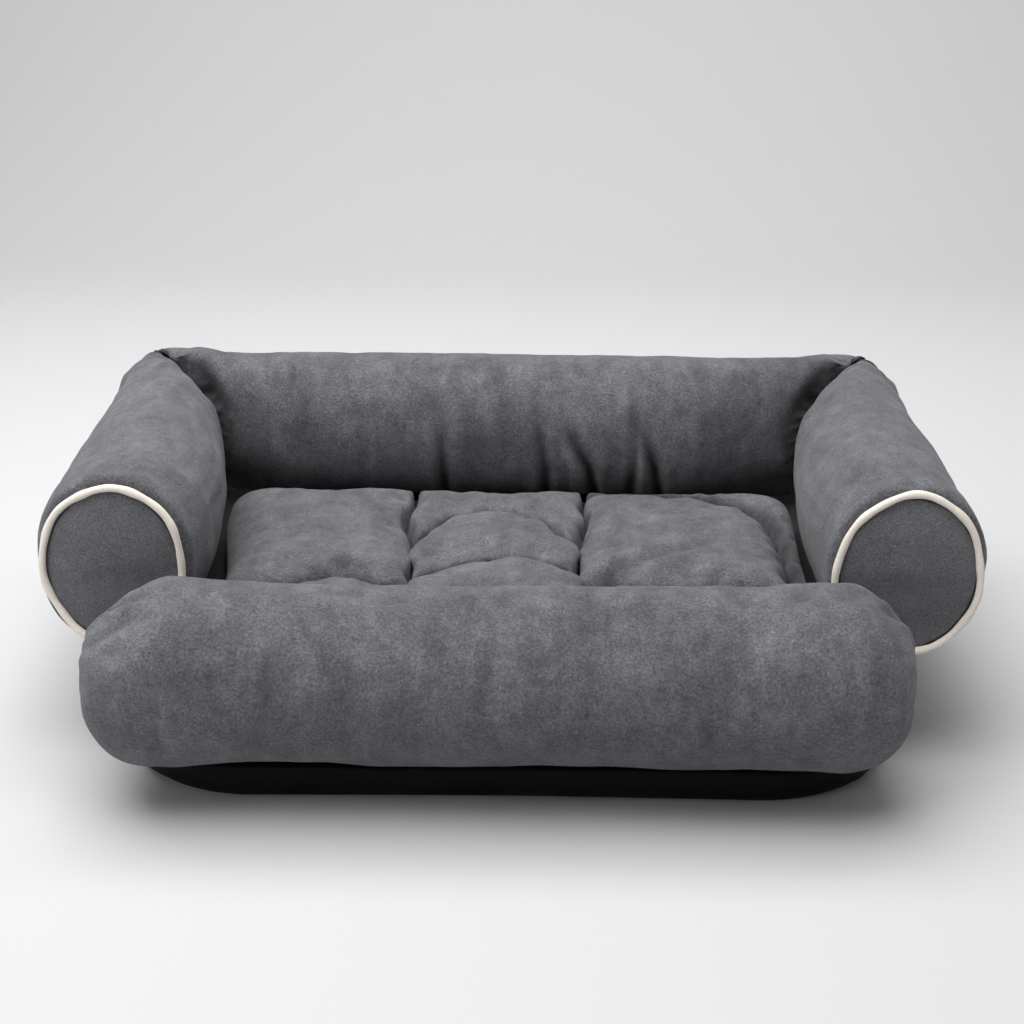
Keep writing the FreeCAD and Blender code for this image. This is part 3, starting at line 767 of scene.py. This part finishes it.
# bends the corners of a square plan onto arcs; both is true in the four corners
def roundCorners(x, y, halfX, halfY, radius):
    overX, overY = np.abs(x) - (halfX - radius), np.abs(y) - (halfY - radius)
    both = (overX > 0) & (overY > 0)
    shrink = np.where(both, np.maximum(overX, overY) / np.maximum(np.hypot(overX, overY), 1e-9), 1)
    x = np.where(both, np.sign(x) * (halfX - radius + overX * shrink), x)
    y = np.where(both, np.sign(y) * (halfY - radius + overY * shrink), y)
    return x, y, both


def buildCushion():
    look = cushionLook
    halfX = (cushionHigh.x - cushionLow.x) / 2
    halfY = (cushionHigh.y - cushionLow.y) / 2
    middleY = (cushionHigh.y + cushionLow.y) / 2
    bm = bmesh.new()
    bmesh.ops.create_grid(bm, x_segments=round(2 * halfX / look["step"]),
                          y_segments=round(2 * halfY / look["step"]), size=1)
    bmesh.ops.solidify(bm, geom=bm.faces[:], thickness=0.5)
    upright = [e for e in bm.edges if abs(e.verts[0].co.z - e.verts[1].co.z) > 0.3]
    bmesh.ops.subdivide_edges(bm, edges=upright, cuts=4, use_grid_fill=True)
    piece = makePiece("cushion_pillow", bm, suede)
    coords = getCoords(piece.data)
    level = (coords[:, 2] - coords[:, 2].min()) / np.ptp(coords[:, 2])
    x, y = coords[:, 0] * halfX, coords[:, 1] * halfY
    r = look["round"]
    x, y, both = roundCorners(x, y, halfX, halfY, r)
    cornerReach = r - np.hypot(np.maximum(np.abs(x) - halfX + r, 0), np.maximum(np.abs(y) - halfY + r, 0))
    edge = np.where(both, cornerReach, np.minimum(halfX - np.abs(x), halfY - np.abs(y)))
    edge = np.maximum(edge, 0)
    y = y + middleY
    plan = np.column_stack([x, y])
    wobble = 0.004 * np.column_stack([lumps(np.column_stack([x, y, x * 0]), 0.06, 51),
                                      lumps(np.column_stack([x, y, x * 0]), 0.06, 52)])
    # crown height of each pocket
    crown = look["crown"] + look["frontRise"] * ease(0.15, -0.12, y)
    archX, archY = np.array(archPath).T
    inArch = (x > archX[0]) & (x < archX[-1]) & (y < np.interp(x, archX, archY))
    crown += np.where(inArch, look["archRise"], 0)
    # the padded rim that runs round the right pillow's rear corner
    rimX, rimY = np.array(rimPath).T
    rim = (x > rimX[0]) & (y > -0.12) & (y > np.interp(x, rimX, rimY, right=-1))
    crown = np.where(rim, look["rimCrown"], crown)
    wallTop = look["wallTop"] + 0.004 * ease(-0.1, 0.15, y)
    dome = 1 - (1 - np.clip(edge / look["domeDepth"], 0, 1)) ** 2
    top = wallTop + (crown - wallTop) * np.sqrt(dome)
    seamGap = np.full(len(x), 1e9)
    seamShade = np.zeros(len(x))
    lean = np.zeros_like(plan)
    for seam, path in cushionSeams:
        gap, towards = distanceTo(plan + wobble, path)
        seamGap = np.minimum(seamGap, gap)
        # painted shade along each sewn line, where it dips between the pockets
        seamShade = np.maximum(seamShade, 0.95 * bell(gap, 0, seam.get("paintedShade", look["paintedShade"])))
        # the full pockets lean over the sewn line and close the gap above it
        leaning = seam["lean"] * bell(gap, 0.013, 0.008) * (level > 0.999)
        lean += towards / np.maximum(gap, 1e-6)[:, None] * (leaning * ease(0.001, 0.006, gap))[:, None]
        shoulder = np.sqrt(1 - (1 - np.clip(gap / seam["shoulder"], 0, 1)) ** 2)
        top = np.minimum(top, seam["low"] + (crown - seam["low"]) * shoulder)
    tuck = 1 - np.sqrt(1 - (1 - np.clip(edge / 0.014, 0, 1)) ** 2)
    low = cushionLow.z + (look["wallBottom"] - cushionLow.z) * tuck
    wall = look["wallBottom"] + (wallTop - look["wallBottom"]) * level
    z = np.where(level > 0.999, top, np.where(level < 0.001, low, wall))
    x = x / halfX * cushionReach(y)
    x += cushionExtra(y) * ease(0.20, 0.275, x)
    atZip = (y > cushionHigh.y - 0.004) & (np.abs(x) < 0.215)
    x, y = x + lean[:, 0], y + lean[:, 1]
    setCoords(piece.data, np.column_stack([x, y, z]))
    pins = np.clip((seamGap < 0.004) * (level > 0.5) + (level < 0.5) + atZip + (edge < 0.002) * 0.6, 0, 1)
    slack = np.clip(0.3 + bell(seamGap, 0.010, 0.02), 0, 1) * (level > 0.5)
    inflate(piece, look["cloth"], pins, slack)
    coords = getCoords(piece.data)
    normals = getNormals(piece.data)
    free = (level > 0.5) * ease(0.0, 0.012, seamGap) * ease(0, 0.02, edge)
    move = look["lumpHeight"] * lumps(coords, (0.06, 0.06, 0.06), 53) * free
    move += 0.0008 * lumps(coords, (0.022, 0.022, 0.03), 54) * free
    # painted shade: the cushion's sides in full, a band along its top edge, the sewn lines and the creases
    paintedShade = np.where(level > 0.999, seamShade + 0.5 * bell(edge, 0, 0.006), 0.95)
    # these creases are drawn in the plan, so their second value is a length
    turned = [([(a, math.degrees(b / creaseRadius), depth) for a, b, depth in path], width, ridge)
              for path, width, ridge in cushionCreases]
    turns = np.degrees(coords[:, 1] / creaseRadius)
    paintedShade += 0.8 * (level > 0.999) * pressCreases(move, coords[:, 0], turns, turned)
    move *= level > 0.5
    coords += normals * move[:, None]
    reach = 0.002 + cushionReach(coords[:, 1])
    reach += np.where(coords[:, 0] > 0, cushionExtra(coords[:, 1]), 0)
    coords[:, 0] = np.clip(coords[:, 0], -reach, reach)
    coords[:, 1] = np.minimum(coords[:, 1], np.where(np.abs(coords[:, 0]) < 0.215, cushionHigh.y, 0.188))
    setCoords(piece.data, coords)
    markPaintedShade(piece, paintedShade)
    refine(piece)
    settle(piece, "cushion", ("cushion_cover", "cushion_fill"))


cushionCreases = [
    ([(0.222, -0.010, 0.0006), (0.185, -0.040, 0.0035), (0.150, -0.065, 0.0035), (0.100, -0.108, 0.004)],
     0.009, 0.7),
    ([(-0.190, -0.108, 0.002), (-0.166, -0.086, 0.004), (-0.138, -0.104, 0.002)], 0.008, 0.8),
    ([(-0.255, 0.11, 0.0005), (-0.235, 0.03, 0.0018), (-0.240, -0.04, 0.0005)], 0.014, 0.5),
]
buildCushion()
print("cushion made")


# UV in metres from two values per vertex; u wraps round after the given period
def setUv(piece, u, v, period=None):
    mesh = piece.data
    layer = mesh.uv_layers.new(name="metres")
    for polygon in mesh.polygons:
        own = [u[i] for i in polygon.vertices]
        for loop, value in zip(polygon.loop_indices, own):
            if period and max(own) - value > period / 2:
                value += period
            layer.data[loop].uv = (value, v[mesh.loops[loop].vertex_index])


# crowned end panels and their piping
endPadLook = {
    "crown": 0.0095, "rings": 16, "around": 96, "pipeRadius": 0.0036, "pipeAround": 220, "pipeSides": 16,
    "waviness": 0.0011, "drop": 0.0015,
    "left": {"centre": 0.3668, "halfWidth": 0.0648, "halfHeight": 0.0775},
    "right": {"centre": 0.3733, "halfWidth": 0.0675, "halfHeight": 0.0780},
}


def buildEndPad(side):
    name = "left_arm" if side < 0 else "right_arm"
    look = endPadLook
    own = look["left" if side < 0 else "right"]
    centreX = side * own["centre"]
    centreZ = rollZ - look["drop"]
    face = pipingLow.y + look["pipeRadius"]
    bm = bmesh.new()
    rings = look["rings"]
    outline = [bm.verts.new((math.sin(math.pi / 2 * i / rings), 0, 1)) for i in range(rings + 1)]
    back = [bm.verts.new((1 - i / 4, 0, -1)) for i in range(5)]
    profile = outline + back
    edges = [bm.edges.new(pair) for pair in zip(profile[:-1], profile[1:])]
    bmesh.ops.spin(bm, geom=profile + edges, cent=(0, 0, 0), axis=(0, 0, 1), angle=2 * math.pi,
                   steps=look["around"], use_merge=True)
    bmesh.ops.remove_doubles(bm, verts=bm.verts[:], dist=1e-5)
    panel = makePiece(f"{name}_end_pad", bm, endSuede)
    coords = getCoords(panel.data)
    radius = np.hypot(coords[:, 0], coords[:, 1])
    front = coords[:, 2] > 0
    x = coords[:, 0] * (own["halfWidth"] - 0.0046)
    z = coords[:, 1] * (own["halfHeight"] - 0.0046)
    # the filling pushes out most above the front roll
    crown = look["crown"] * (1 - radius ** 2.6) * (0.35 + 0.65 * ease(-0.06, 0.01, z))
    y = np.where(front, face + 0.0012 - crown, face + 0.0030)
    coords = np.column_stack([x + centreX, y, z + centreZ])
    gather = np.arctan2(x, z)
    ripple = 0.0006 * np.sin(gather * 23 + 3 * np.sin(gather * 5)) * bell(radius, 0.93, 0.07)
    y = coords[:, 1] + np.where(front, ripple + 0.0012 * lumps(coords, 0.045, 61 + side), 0) * (radius < 0.99)
    coords[:, 1] = np.maximum(y, -0.1955 - 0.004 * ease(rollZ - 0.02, rollZ + 0.02, coords[:, 2]) * 1.5)
    setCoords(panel.data, coords)
    settle(panel, "bed", (f"{name}_end_panel",))


def buildPiping(side):
    name = "left_arm" if side < 0 else "right_arm"
    look = endPadLook
    own = look["left" if side < 0 else "right"]
    face = pipingLow.y + look["pipeRadius"]
    bm = bmesh.new()
    bmesh.ops.create_circle(bm, segments=look["pipeSides"], radius=look["pipeRadius"],
                            matrix=Matrix.Translation((1, 0, 0)) @ Matrix.Rotation(math.pi / 2, 4, "X"))
    bmesh.ops.spin(bm, geom=bm.verts[:] + bm.edges[:], cent=(0, 0, 0), axis=(0, 0, 1), angle=2 * math.pi,
                   steps=look["pipeAround"], use_merge=True)
    piping = makePiece(f"{name}_piping_trim", bm, pipingCloth)
    coords = getCoords(piping.data)
    turn = np.arctan2(coords[:, 0], coords[:, 1])
    offset = np.hypot(coords[:, 0], coords[:, 1]) - 1
    lift = coords[:, 2]
    wave = 1 + 0.06 * np.sin(turn * 9 + side) + 0.05 * np.sin(turn * 17 + 2)
    offset, lift = offset * wave, lift * wave
    sag = look["waviness"] * (np.sin(turn * 3 + side) + 0.6 * np.sin(turn * 7 + 1.3))
    reachX = own["halfWidth"] + sag + offset
    reachZ = own["halfHeight"] + sag + offset
    x = side * own["centre"] + np.sin(turn) * reachX
    z = rollZ - look["drop"] + np.cos(turn) * reachZ
    y = face - lift + 0.0006 * np.sin(turn * 5 + side)
    setCoords(piping.data, np.column_stack([x, y, z]))
    perimeter = math.pi * (own["halfWidth"] + own["halfHeight"])
    around = np.arctan2(lift, offset) * look["pipeRadius"]
    # cut on the bias, so the twill runs slantwise
    setUv(piping, (turn / (2 * math.pi) + 0.5) * perimeter + around, around, perimeter)
    settle(piping, "bed", (f"{name}_piping", f"{name}_piping_cord"))


for side in (-1, 1):
    buildEndPad(side)
    buildPiping(side)
print("end panels and piping made")


# rounded rectangle walked round by its length, starting behind and turning clockwise
def outline(share, lowX, highX, lowY, highY, radius):
    width, depth = highX - lowX - 2 * radius, highY - lowY - 2 * radius
    bend = math.pi / 2 * radius
    total = 2 * (width + depth) + 4 * bend
    s = (share * total + width / 2) % total
    x, y = np.zeros_like(s), np.zeros_like(s)
    start = 0.0
    legs = [(width, lowX + radius, highY, 1, 0), (bend, highX - radius, highY - radius, 90, None),
            (depth, highX, highY - radius, 0, -1), (bend, highX - radius, lowY + radius, 0, None),
            (width, highX - radius, lowY, -1, 0), (bend, lowX + radius, lowY + radius, -90, None),
            (depth, lowX, lowY + radius, 0, 1), (bend, lowX + radius, highY - radius, 180, None)]
    for size, anchorX, anchorY, way, wayY in legs:
        here = (s >= start - 1e-9) & (s <= start + size + 1e-9)
        part = (s - start)[here]
        if wayY is None:
            angle = math.radians(way) - part / radius
            x[here], y[here] = anchorX + radius * np.cos(angle), anchorY + radius * np.sin(angle)
        else:
            x[here], y[here] = anchorX + way * part, anchorY + wayY * part
        start += size
    return x, y, total


# Closed box of cloth round an outline. levels lists (height, inset from the outline,
# share of the plan).
def clothBox(name, material, levels, look, low, high):
    bm = unitTube(len(levels), look["around"])
    piece = makePiece(name, bm, material)
    plan = np.array(levels)
    coords = getCoords(piece.data)
    ring = np.rint(coords[:, 2]).astype(int)
    share = (np.arctan2(coords[:, 0], coords[:, 1]) / (2 * math.pi)) % 1
    pole = np.hypot(coords[:, 0], coords[:, 1]) < 0.5
    x, y, total = outline(share, low.x, high.x, low.y, high.y, look["radius"])
    centreX, centreY = (low.x + high.x) / 2, (low.y + high.y) / 2
    size = np.where(pole, 0, plan[ring, 2])
    outX, outY = x - centreX, y - centreY
    reach = np.maximum(np.hypot(outX, outY), 1e-9)
    inset = plan[ring, 1]
    x = centreX + outX * size - outX / reach * inset * (size > 0)
    y = centreY + outY * size - outY / reach * inset * (size > 0)
    return piece, np.column_stack([x, y, plan[ring, 0]]), share * total, size, total


# level directions that point away from the middle of a box
def outwards(coords, low, high):
    out = coords[:, :2] - np.array([(low.x + high.x) / 2, (low.y + high.y) / 2])
    return out / np.maximum(np.linalg.norm(out, axis=1), 1e-9)[:, None]


# black tray that the bed stands on
trayLook = {"around": 560, "radius": 0.120, "edgeRound": 0.027, "wave": 0.0042, "narrower": 0.012}


def buildTray():
    look = trayLook
    top = trayHigh.z
    levels = [(0.0, 0.0, share) for share in (0, 0.15, 0.3, 0.45, 0.6, 0.75, 0.88)]
    turns = [math.pi / 2 * i / 7 for i in range(8)]
    r = look["edgeRound"]
    levels += [(r * (1 - math.cos(t)), r * (1 - math.sin(t)), 1.0) for t in turns]
    levels += [(r + (top - r) * i / 5, 0.0, 1.0) for i in range(1, 5)]
    levels += [(top, 0.002, 1.0)]
    levels += [(top, 0.0, share) for share in (0.97, 0.9, 0.7, 0.5, 0.25, 0)]
    side = Vector((look["narrower"], 0, 0))
    piece, coords, walked, size, total = clothBox("base_tray", oxford, levels, look,
                                                  trayLow + side, trayHigh - side)
    out = outwards(coords, trayLow, trayHigh)
    wall = (size > 0.985) * ease(0.0005, 0.012, coords[:, 2]) * ease(top + 0.001, top - 0.008, coords[:, 2])
    push = look["wave"] * lumps(coords, (0.07, 0.07, 0.022), 71)
    push += 0.0012 * lumps(coords, (0.025, 0.025, 0.012), 72)
    coords[:, :2] += out * (push * wall)[:, None]
    atFoot = (size > 0.985) & (coords[:, 2] < 0.02)
    rise = np.clip(0.0025 * lumps(coords, (0.05, 0.05, 0.05), 73), 0, 1)
    coords[:, 2] += atFoot * rise * ease(0, 0.01, coords[:, 2])
    setCoords(piece.data, coords)
    flat = size < 0.985
    setUv(piece, np.where(flat, coords[:, 0], walked), np.where(flat, coords[:, 1], coords[:, 2]), total)
    settle(piece, "bed", ("bottom_cover", "base_pad"))


buildTray()


# band between the tray and the rolls, with the long zip behind
bandLook = {"around": 560, "radius": 0.046, "bulge": 0.003, "edge": 0.004}


def buildBand():
    look = bandLook
    low, high = bandLow.z, bandHigh.z
    levels = [(low, 0.0, share) for share in (0, 0.3, 0.6, 0.85)] + [(low, look["edge"], 1.0)]
    count = 11
    levels += [(low + look["edge"] * 0.5 + (high - low - look["edge"]) * i / count, 0.0, 1.0)
               for i in range(count + 1)]
    levels += [(high, look["edge"], 1.0)] + [(high, 0.0, share) for share in (0.85, 0.6, 0.3, 0)]
    piece, coords, _, size, _ = clothBox("side_band_soft", suede, levels, look, bandLow, bandHigh)
    out = outwards(coords, bandLow, bandHigh)
    middleY = (bandLow.y + bandHigh.y) / 2
    rise = np.clip((coords[:, 2] - low) / (high - low), 0, 1)
    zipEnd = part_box("base_zip_tapes")[1].x
    atZip = (coords[:, 1] > middleY) * ease(zipEnd + 0.03, zipEnd + 0.005, np.abs(coords[:, 0]))
    wall = (size > 0.985) * np.sin(math.pi * rise) * (1 - atZip)
    push = look["bulge"] * (1 + 0.6 * lumps(coords, (0.05, 0.05, 0.2), 81))
    push += 0.0012 * lumps(coords, (0.018, 0.018, 0.05), 82)
    coords[:, :2] += out * (push * wall)[:, None]
    behind = (coords[:, 1] > middleY + 0.1) & (atZip > 0.99)
    coords[:, 1] = np.where(behind, np.minimum(coords[:, 1], bandHigh.y), coords[:, 1])
    setCoords(piece.data, coords)
    settle(piece, "bed", ("side_band",))


buildBand()


# suede floor of the nest, under the loose cushion; it stays inside the band's wall
nestLook = {"inset": 0.010, "ripple": 0.0009}


def buildNestFloor():
    bm = bmesh.new()
    bmesh.ops.create_grid(bm, x_segments=110, y_segments=74, size=1)
    bmesh.ops.solidify(bm, geom=bm.faces[:], thickness=0.5)
    piece = makePiece("nest_floor", bm, suede)
    coords = getCoords(piece.data)
    level = (coords[:, 2] - coords[:, 2].min()) / np.ptp(coords[:, 2])
    halfX = (nestHigh.x - nestLow.x) / 2 - nestLook["inset"]
    halfY = (nestHigh.y - nestLow.y) / 2 - nestLook["inset"]
    x, y, _ = roundCorners(coords[:, 0] * halfX, coords[:, 1] * halfY, halfX, halfY, bandLook["radius"])
    y += (nestLow.y + nestHigh.y) / 2
    ripple = np.abs(lumps(np.column_stack([x, y, x * 0]), 0.07, 91))
    z = np.where(level > 0.5, nestHigh.z - nestLook["ripple"] * np.clip(ripple, 0, 1), nestLow.z)
    setCoords(piece.data, np.column_stack([x, y, z]))
    # painted shade along the sides and the rear, where the floor lies in the gaps beside the arms and under
    # the rear roll
    markPaintedShade(piece, np.maximum(ease(0.245, 0.275, np.abs(x)), ease(0.155, 0.18, y)))
    settle(piece, "bed", ("nest_floor_panel", "nest_floor_pad"))


buildNestFloor()
print("tray, band and nest floor made")


# zips: two woven tapes, interlocked coil teeth, thread, metal ends, slider and tab
zipLook = {"coilPitch": 0.0020, "stitchPitch": 0.0032, "stitchInset": 0.003, "gap": 0.0012}


def repeatAlong(piece, count, pitch):
    row = piece.modifiers.new("row", "ARRAY")
    row.count = count
    row.use_relative_offset = False
    row.use_constant_offset = True
    row.constant_offset_displace = (pitch, 0, 0)
    bakeModifiers(piece)


def buildZip(name, body):
    look = zipLook
    tapeLow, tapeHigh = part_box(f"{name}_tapes")
    coilLow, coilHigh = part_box(f"{name}_coils")
    middleZ = (tapeLow.z + tapeHigh.z) / 2
    coilHalf = (coilHigh.z - coilLow.z) / 2
    bm = bmesh.new()
    for sign in (-1, 1):
        inner, outer = middleZ + sign * look["gap"], (tapeHigh.z if sign > 0 else tapeLow.z)
        made = bmesh.ops.create_grid(bm, x_segments=200, y_segments=5, size=1)["verts"]
        for v in made:
            height = (inner + outer) / 2 + v.co.y * abs(outer - inner) / 2
            v.co = Vector((v.co.x * tapeHigh.x, tapeHigh.y, height))
    bmesh.ops.solidify(bm, geom=bm.faces[:], thickness=tapeHigh.y - tapeLow.y)
    tapes = makePiece(f"{name}_tape_cloth", bm, tapeCloth)
    coords = getCoords(tapes.data)
    coords[:, 1] = np.clip(coords[:, 1] + tapeHigh.y - coords[:, 1].max(), tapeLow.y, tapeHigh.y)
    setCoords(tapes.data, coords)
    setUv(tapes, coords[:, 0], coords[:, 2])
    settle(tapes, body, (f"{name}_tapes",))

    pitch = look["coilPitch"]
    middleY = (coilLow.y + coilHigh.y) / 2
    toothSize = (pitch * 0.62, coilHigh.y - coilLow.y - 0.0002, coilHalf * 1.15, 1)
    count = int((coilHigh.x - coilLow.x - 0.002) / pitch)
    for kind, sign in (("upper", 1), ("lower", -1)):
        bm = bmesh.new()
        bmesh.ops.create_cube(bm, size=1, matrix=Matrix.Diagonal(toothSize))
        bmesh.ops.bevel(bm, geom=bm.edges[:], offset=0.0004, segments=1, profile=0.5,
                        affect="EDGES", material=-1)
        tooth = makePiece(f"{name}_{kind}_coil", bm, coilPlastic)
        startX = coilLow.x + 0.0015 + (0 if sign > 0 else pitch / 2)
        start = Vector((startX, middleY, middleZ + sign * coilHalf * 0.42))
        tooth.data.transform(Matrix.Translation(start))
        repeatAlong(tooth, count, pitch)
        settle(tooth, body, (f"{name}_coils",) if sign > 0 else ())
    inset = look["stitchInset"]
    for kind, height in (("top", tapeHigh.z - inset), ("bottom", tapeLow.z + inset)):
        bm = bmesh.new()
        first = Matrix.Translation((tapeLow.x + inset, tapeHigh.y + 0.0001, height))
        bmesh.ops.create_uvsphere(bm, u_segments=8, v_segments=5, radius=0.5,
                                  matrix=first @ Matrix.Diagonal((0.0024, 0.0007, 0.0008, 1)))
        thread = makePiece(f"{name}_{kind}_stitches", bm, stitchThread)
        count = int((tapeHigh.x - tapeLow.x - 2 * inset) / look["stitchPitch"])
        repeatAlong(thread, count, look["stitchPitch"])
        settle(thread, body)
    for part in ("stops", "slider", "pull_tab"):
        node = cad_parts[f"{name}_{part}"]
        node.data.materials.clear()
        node.data.materials.append(zipMetal)


buildZip("base_zip", "bed")
buildZip("cushion_zip", "cushion")
print("zips made")


# stage: one pale sheet that sweeps up behind
def buildStage():
    material, tree, shader = newMaterial("paper")
    shader.inputs["Base Color"].default_value = (0.60, 0.60, 0.608, 1)
    shader.inputs["Roughness"].default_value = 0.9
    shader.inputs["Specular IOR Level"].default_value = 0.2
    bm = bmesh.new()
    bmesh.ops.create_grid(bm, x_segments=8, y_segments=120, size=1)
    sheet = makePiece("paper_sweep", bm, material)
    coords = getCoords(sheet.data)
    walked = (coords[:, 1] + 1) * 5.5
    flatLength, bendRadius = 6.5, 1.4
    bendLength = bendRadius * math.pi / 2
    angle = np.clip((walked - flatLength) / bendRadius, 0, math.pi / 2)
    y = -4.5 + np.minimum(walked, flatLength) + bendRadius * np.sin(angle)
    z = bendRadius * (1 - np.cos(angle)) + np.maximum(0, walked - flatLength - bendLength)
    setCoords(sheet.data, np.column_stack([coords[:, 0] * 5, y, z]))


def addLight(name, place, target, size, power):
    light = bpy.data.lights.new(name, "AREA")
    light.shape = "RECTANGLE"
    light.size, light.size_y = size
    light.energy = power
    lamp = bpy.data.objects.new(name, light)
    scene.collection.objects.link(lamp)
    lamp.location = place
    lamp.rotation_euler = (Vector(target) - Vector(place)).to_track_quat("-Z", "Y").to_euler()


buildStage()
addLight("key", (-0.62, -0.24, 2.5), (0, 0, 0.1), (3.3, 2.3), 102)
addLight("fill", (-2.3, -2.2, 0.9), (0, 0, 0.2), (1.4, 1.0), 14)
addLight("back", (0.9, 0.9, 2.6), (0.2, 2.6, 0.9), (2.4, 1.2), 33)
world = bpy.data.worlds.new("studio")
scene.world = world
world.use_nodes = True
background = world.node_tree.nodes["Background"]
background.inputs["Color"].default_value = (1, 1, 1, 1)
background.inputs["Strength"].default_value = 0.25

camera = bpy.data.objects.new("camera", bpy.data.cameras.new("camera"))
scene.collection.objects.link(camera)
camera.location = (0, -1.778, 0.8106)
tilt = Matrix.Rotation(math.radians(70.55), 3, "X") @ Matrix.Rotation(math.radians(0.65), 3, "Z")
camera.rotation_euler = tilt.to_euler()
camera.data.lens = 64.37
camera.data.sensor_width = 36
camera.data.shift_x = 0.0039
scene.camera = camera
scene.view_settings.view_transform = "Standard"
print("stage, lights and camera set")
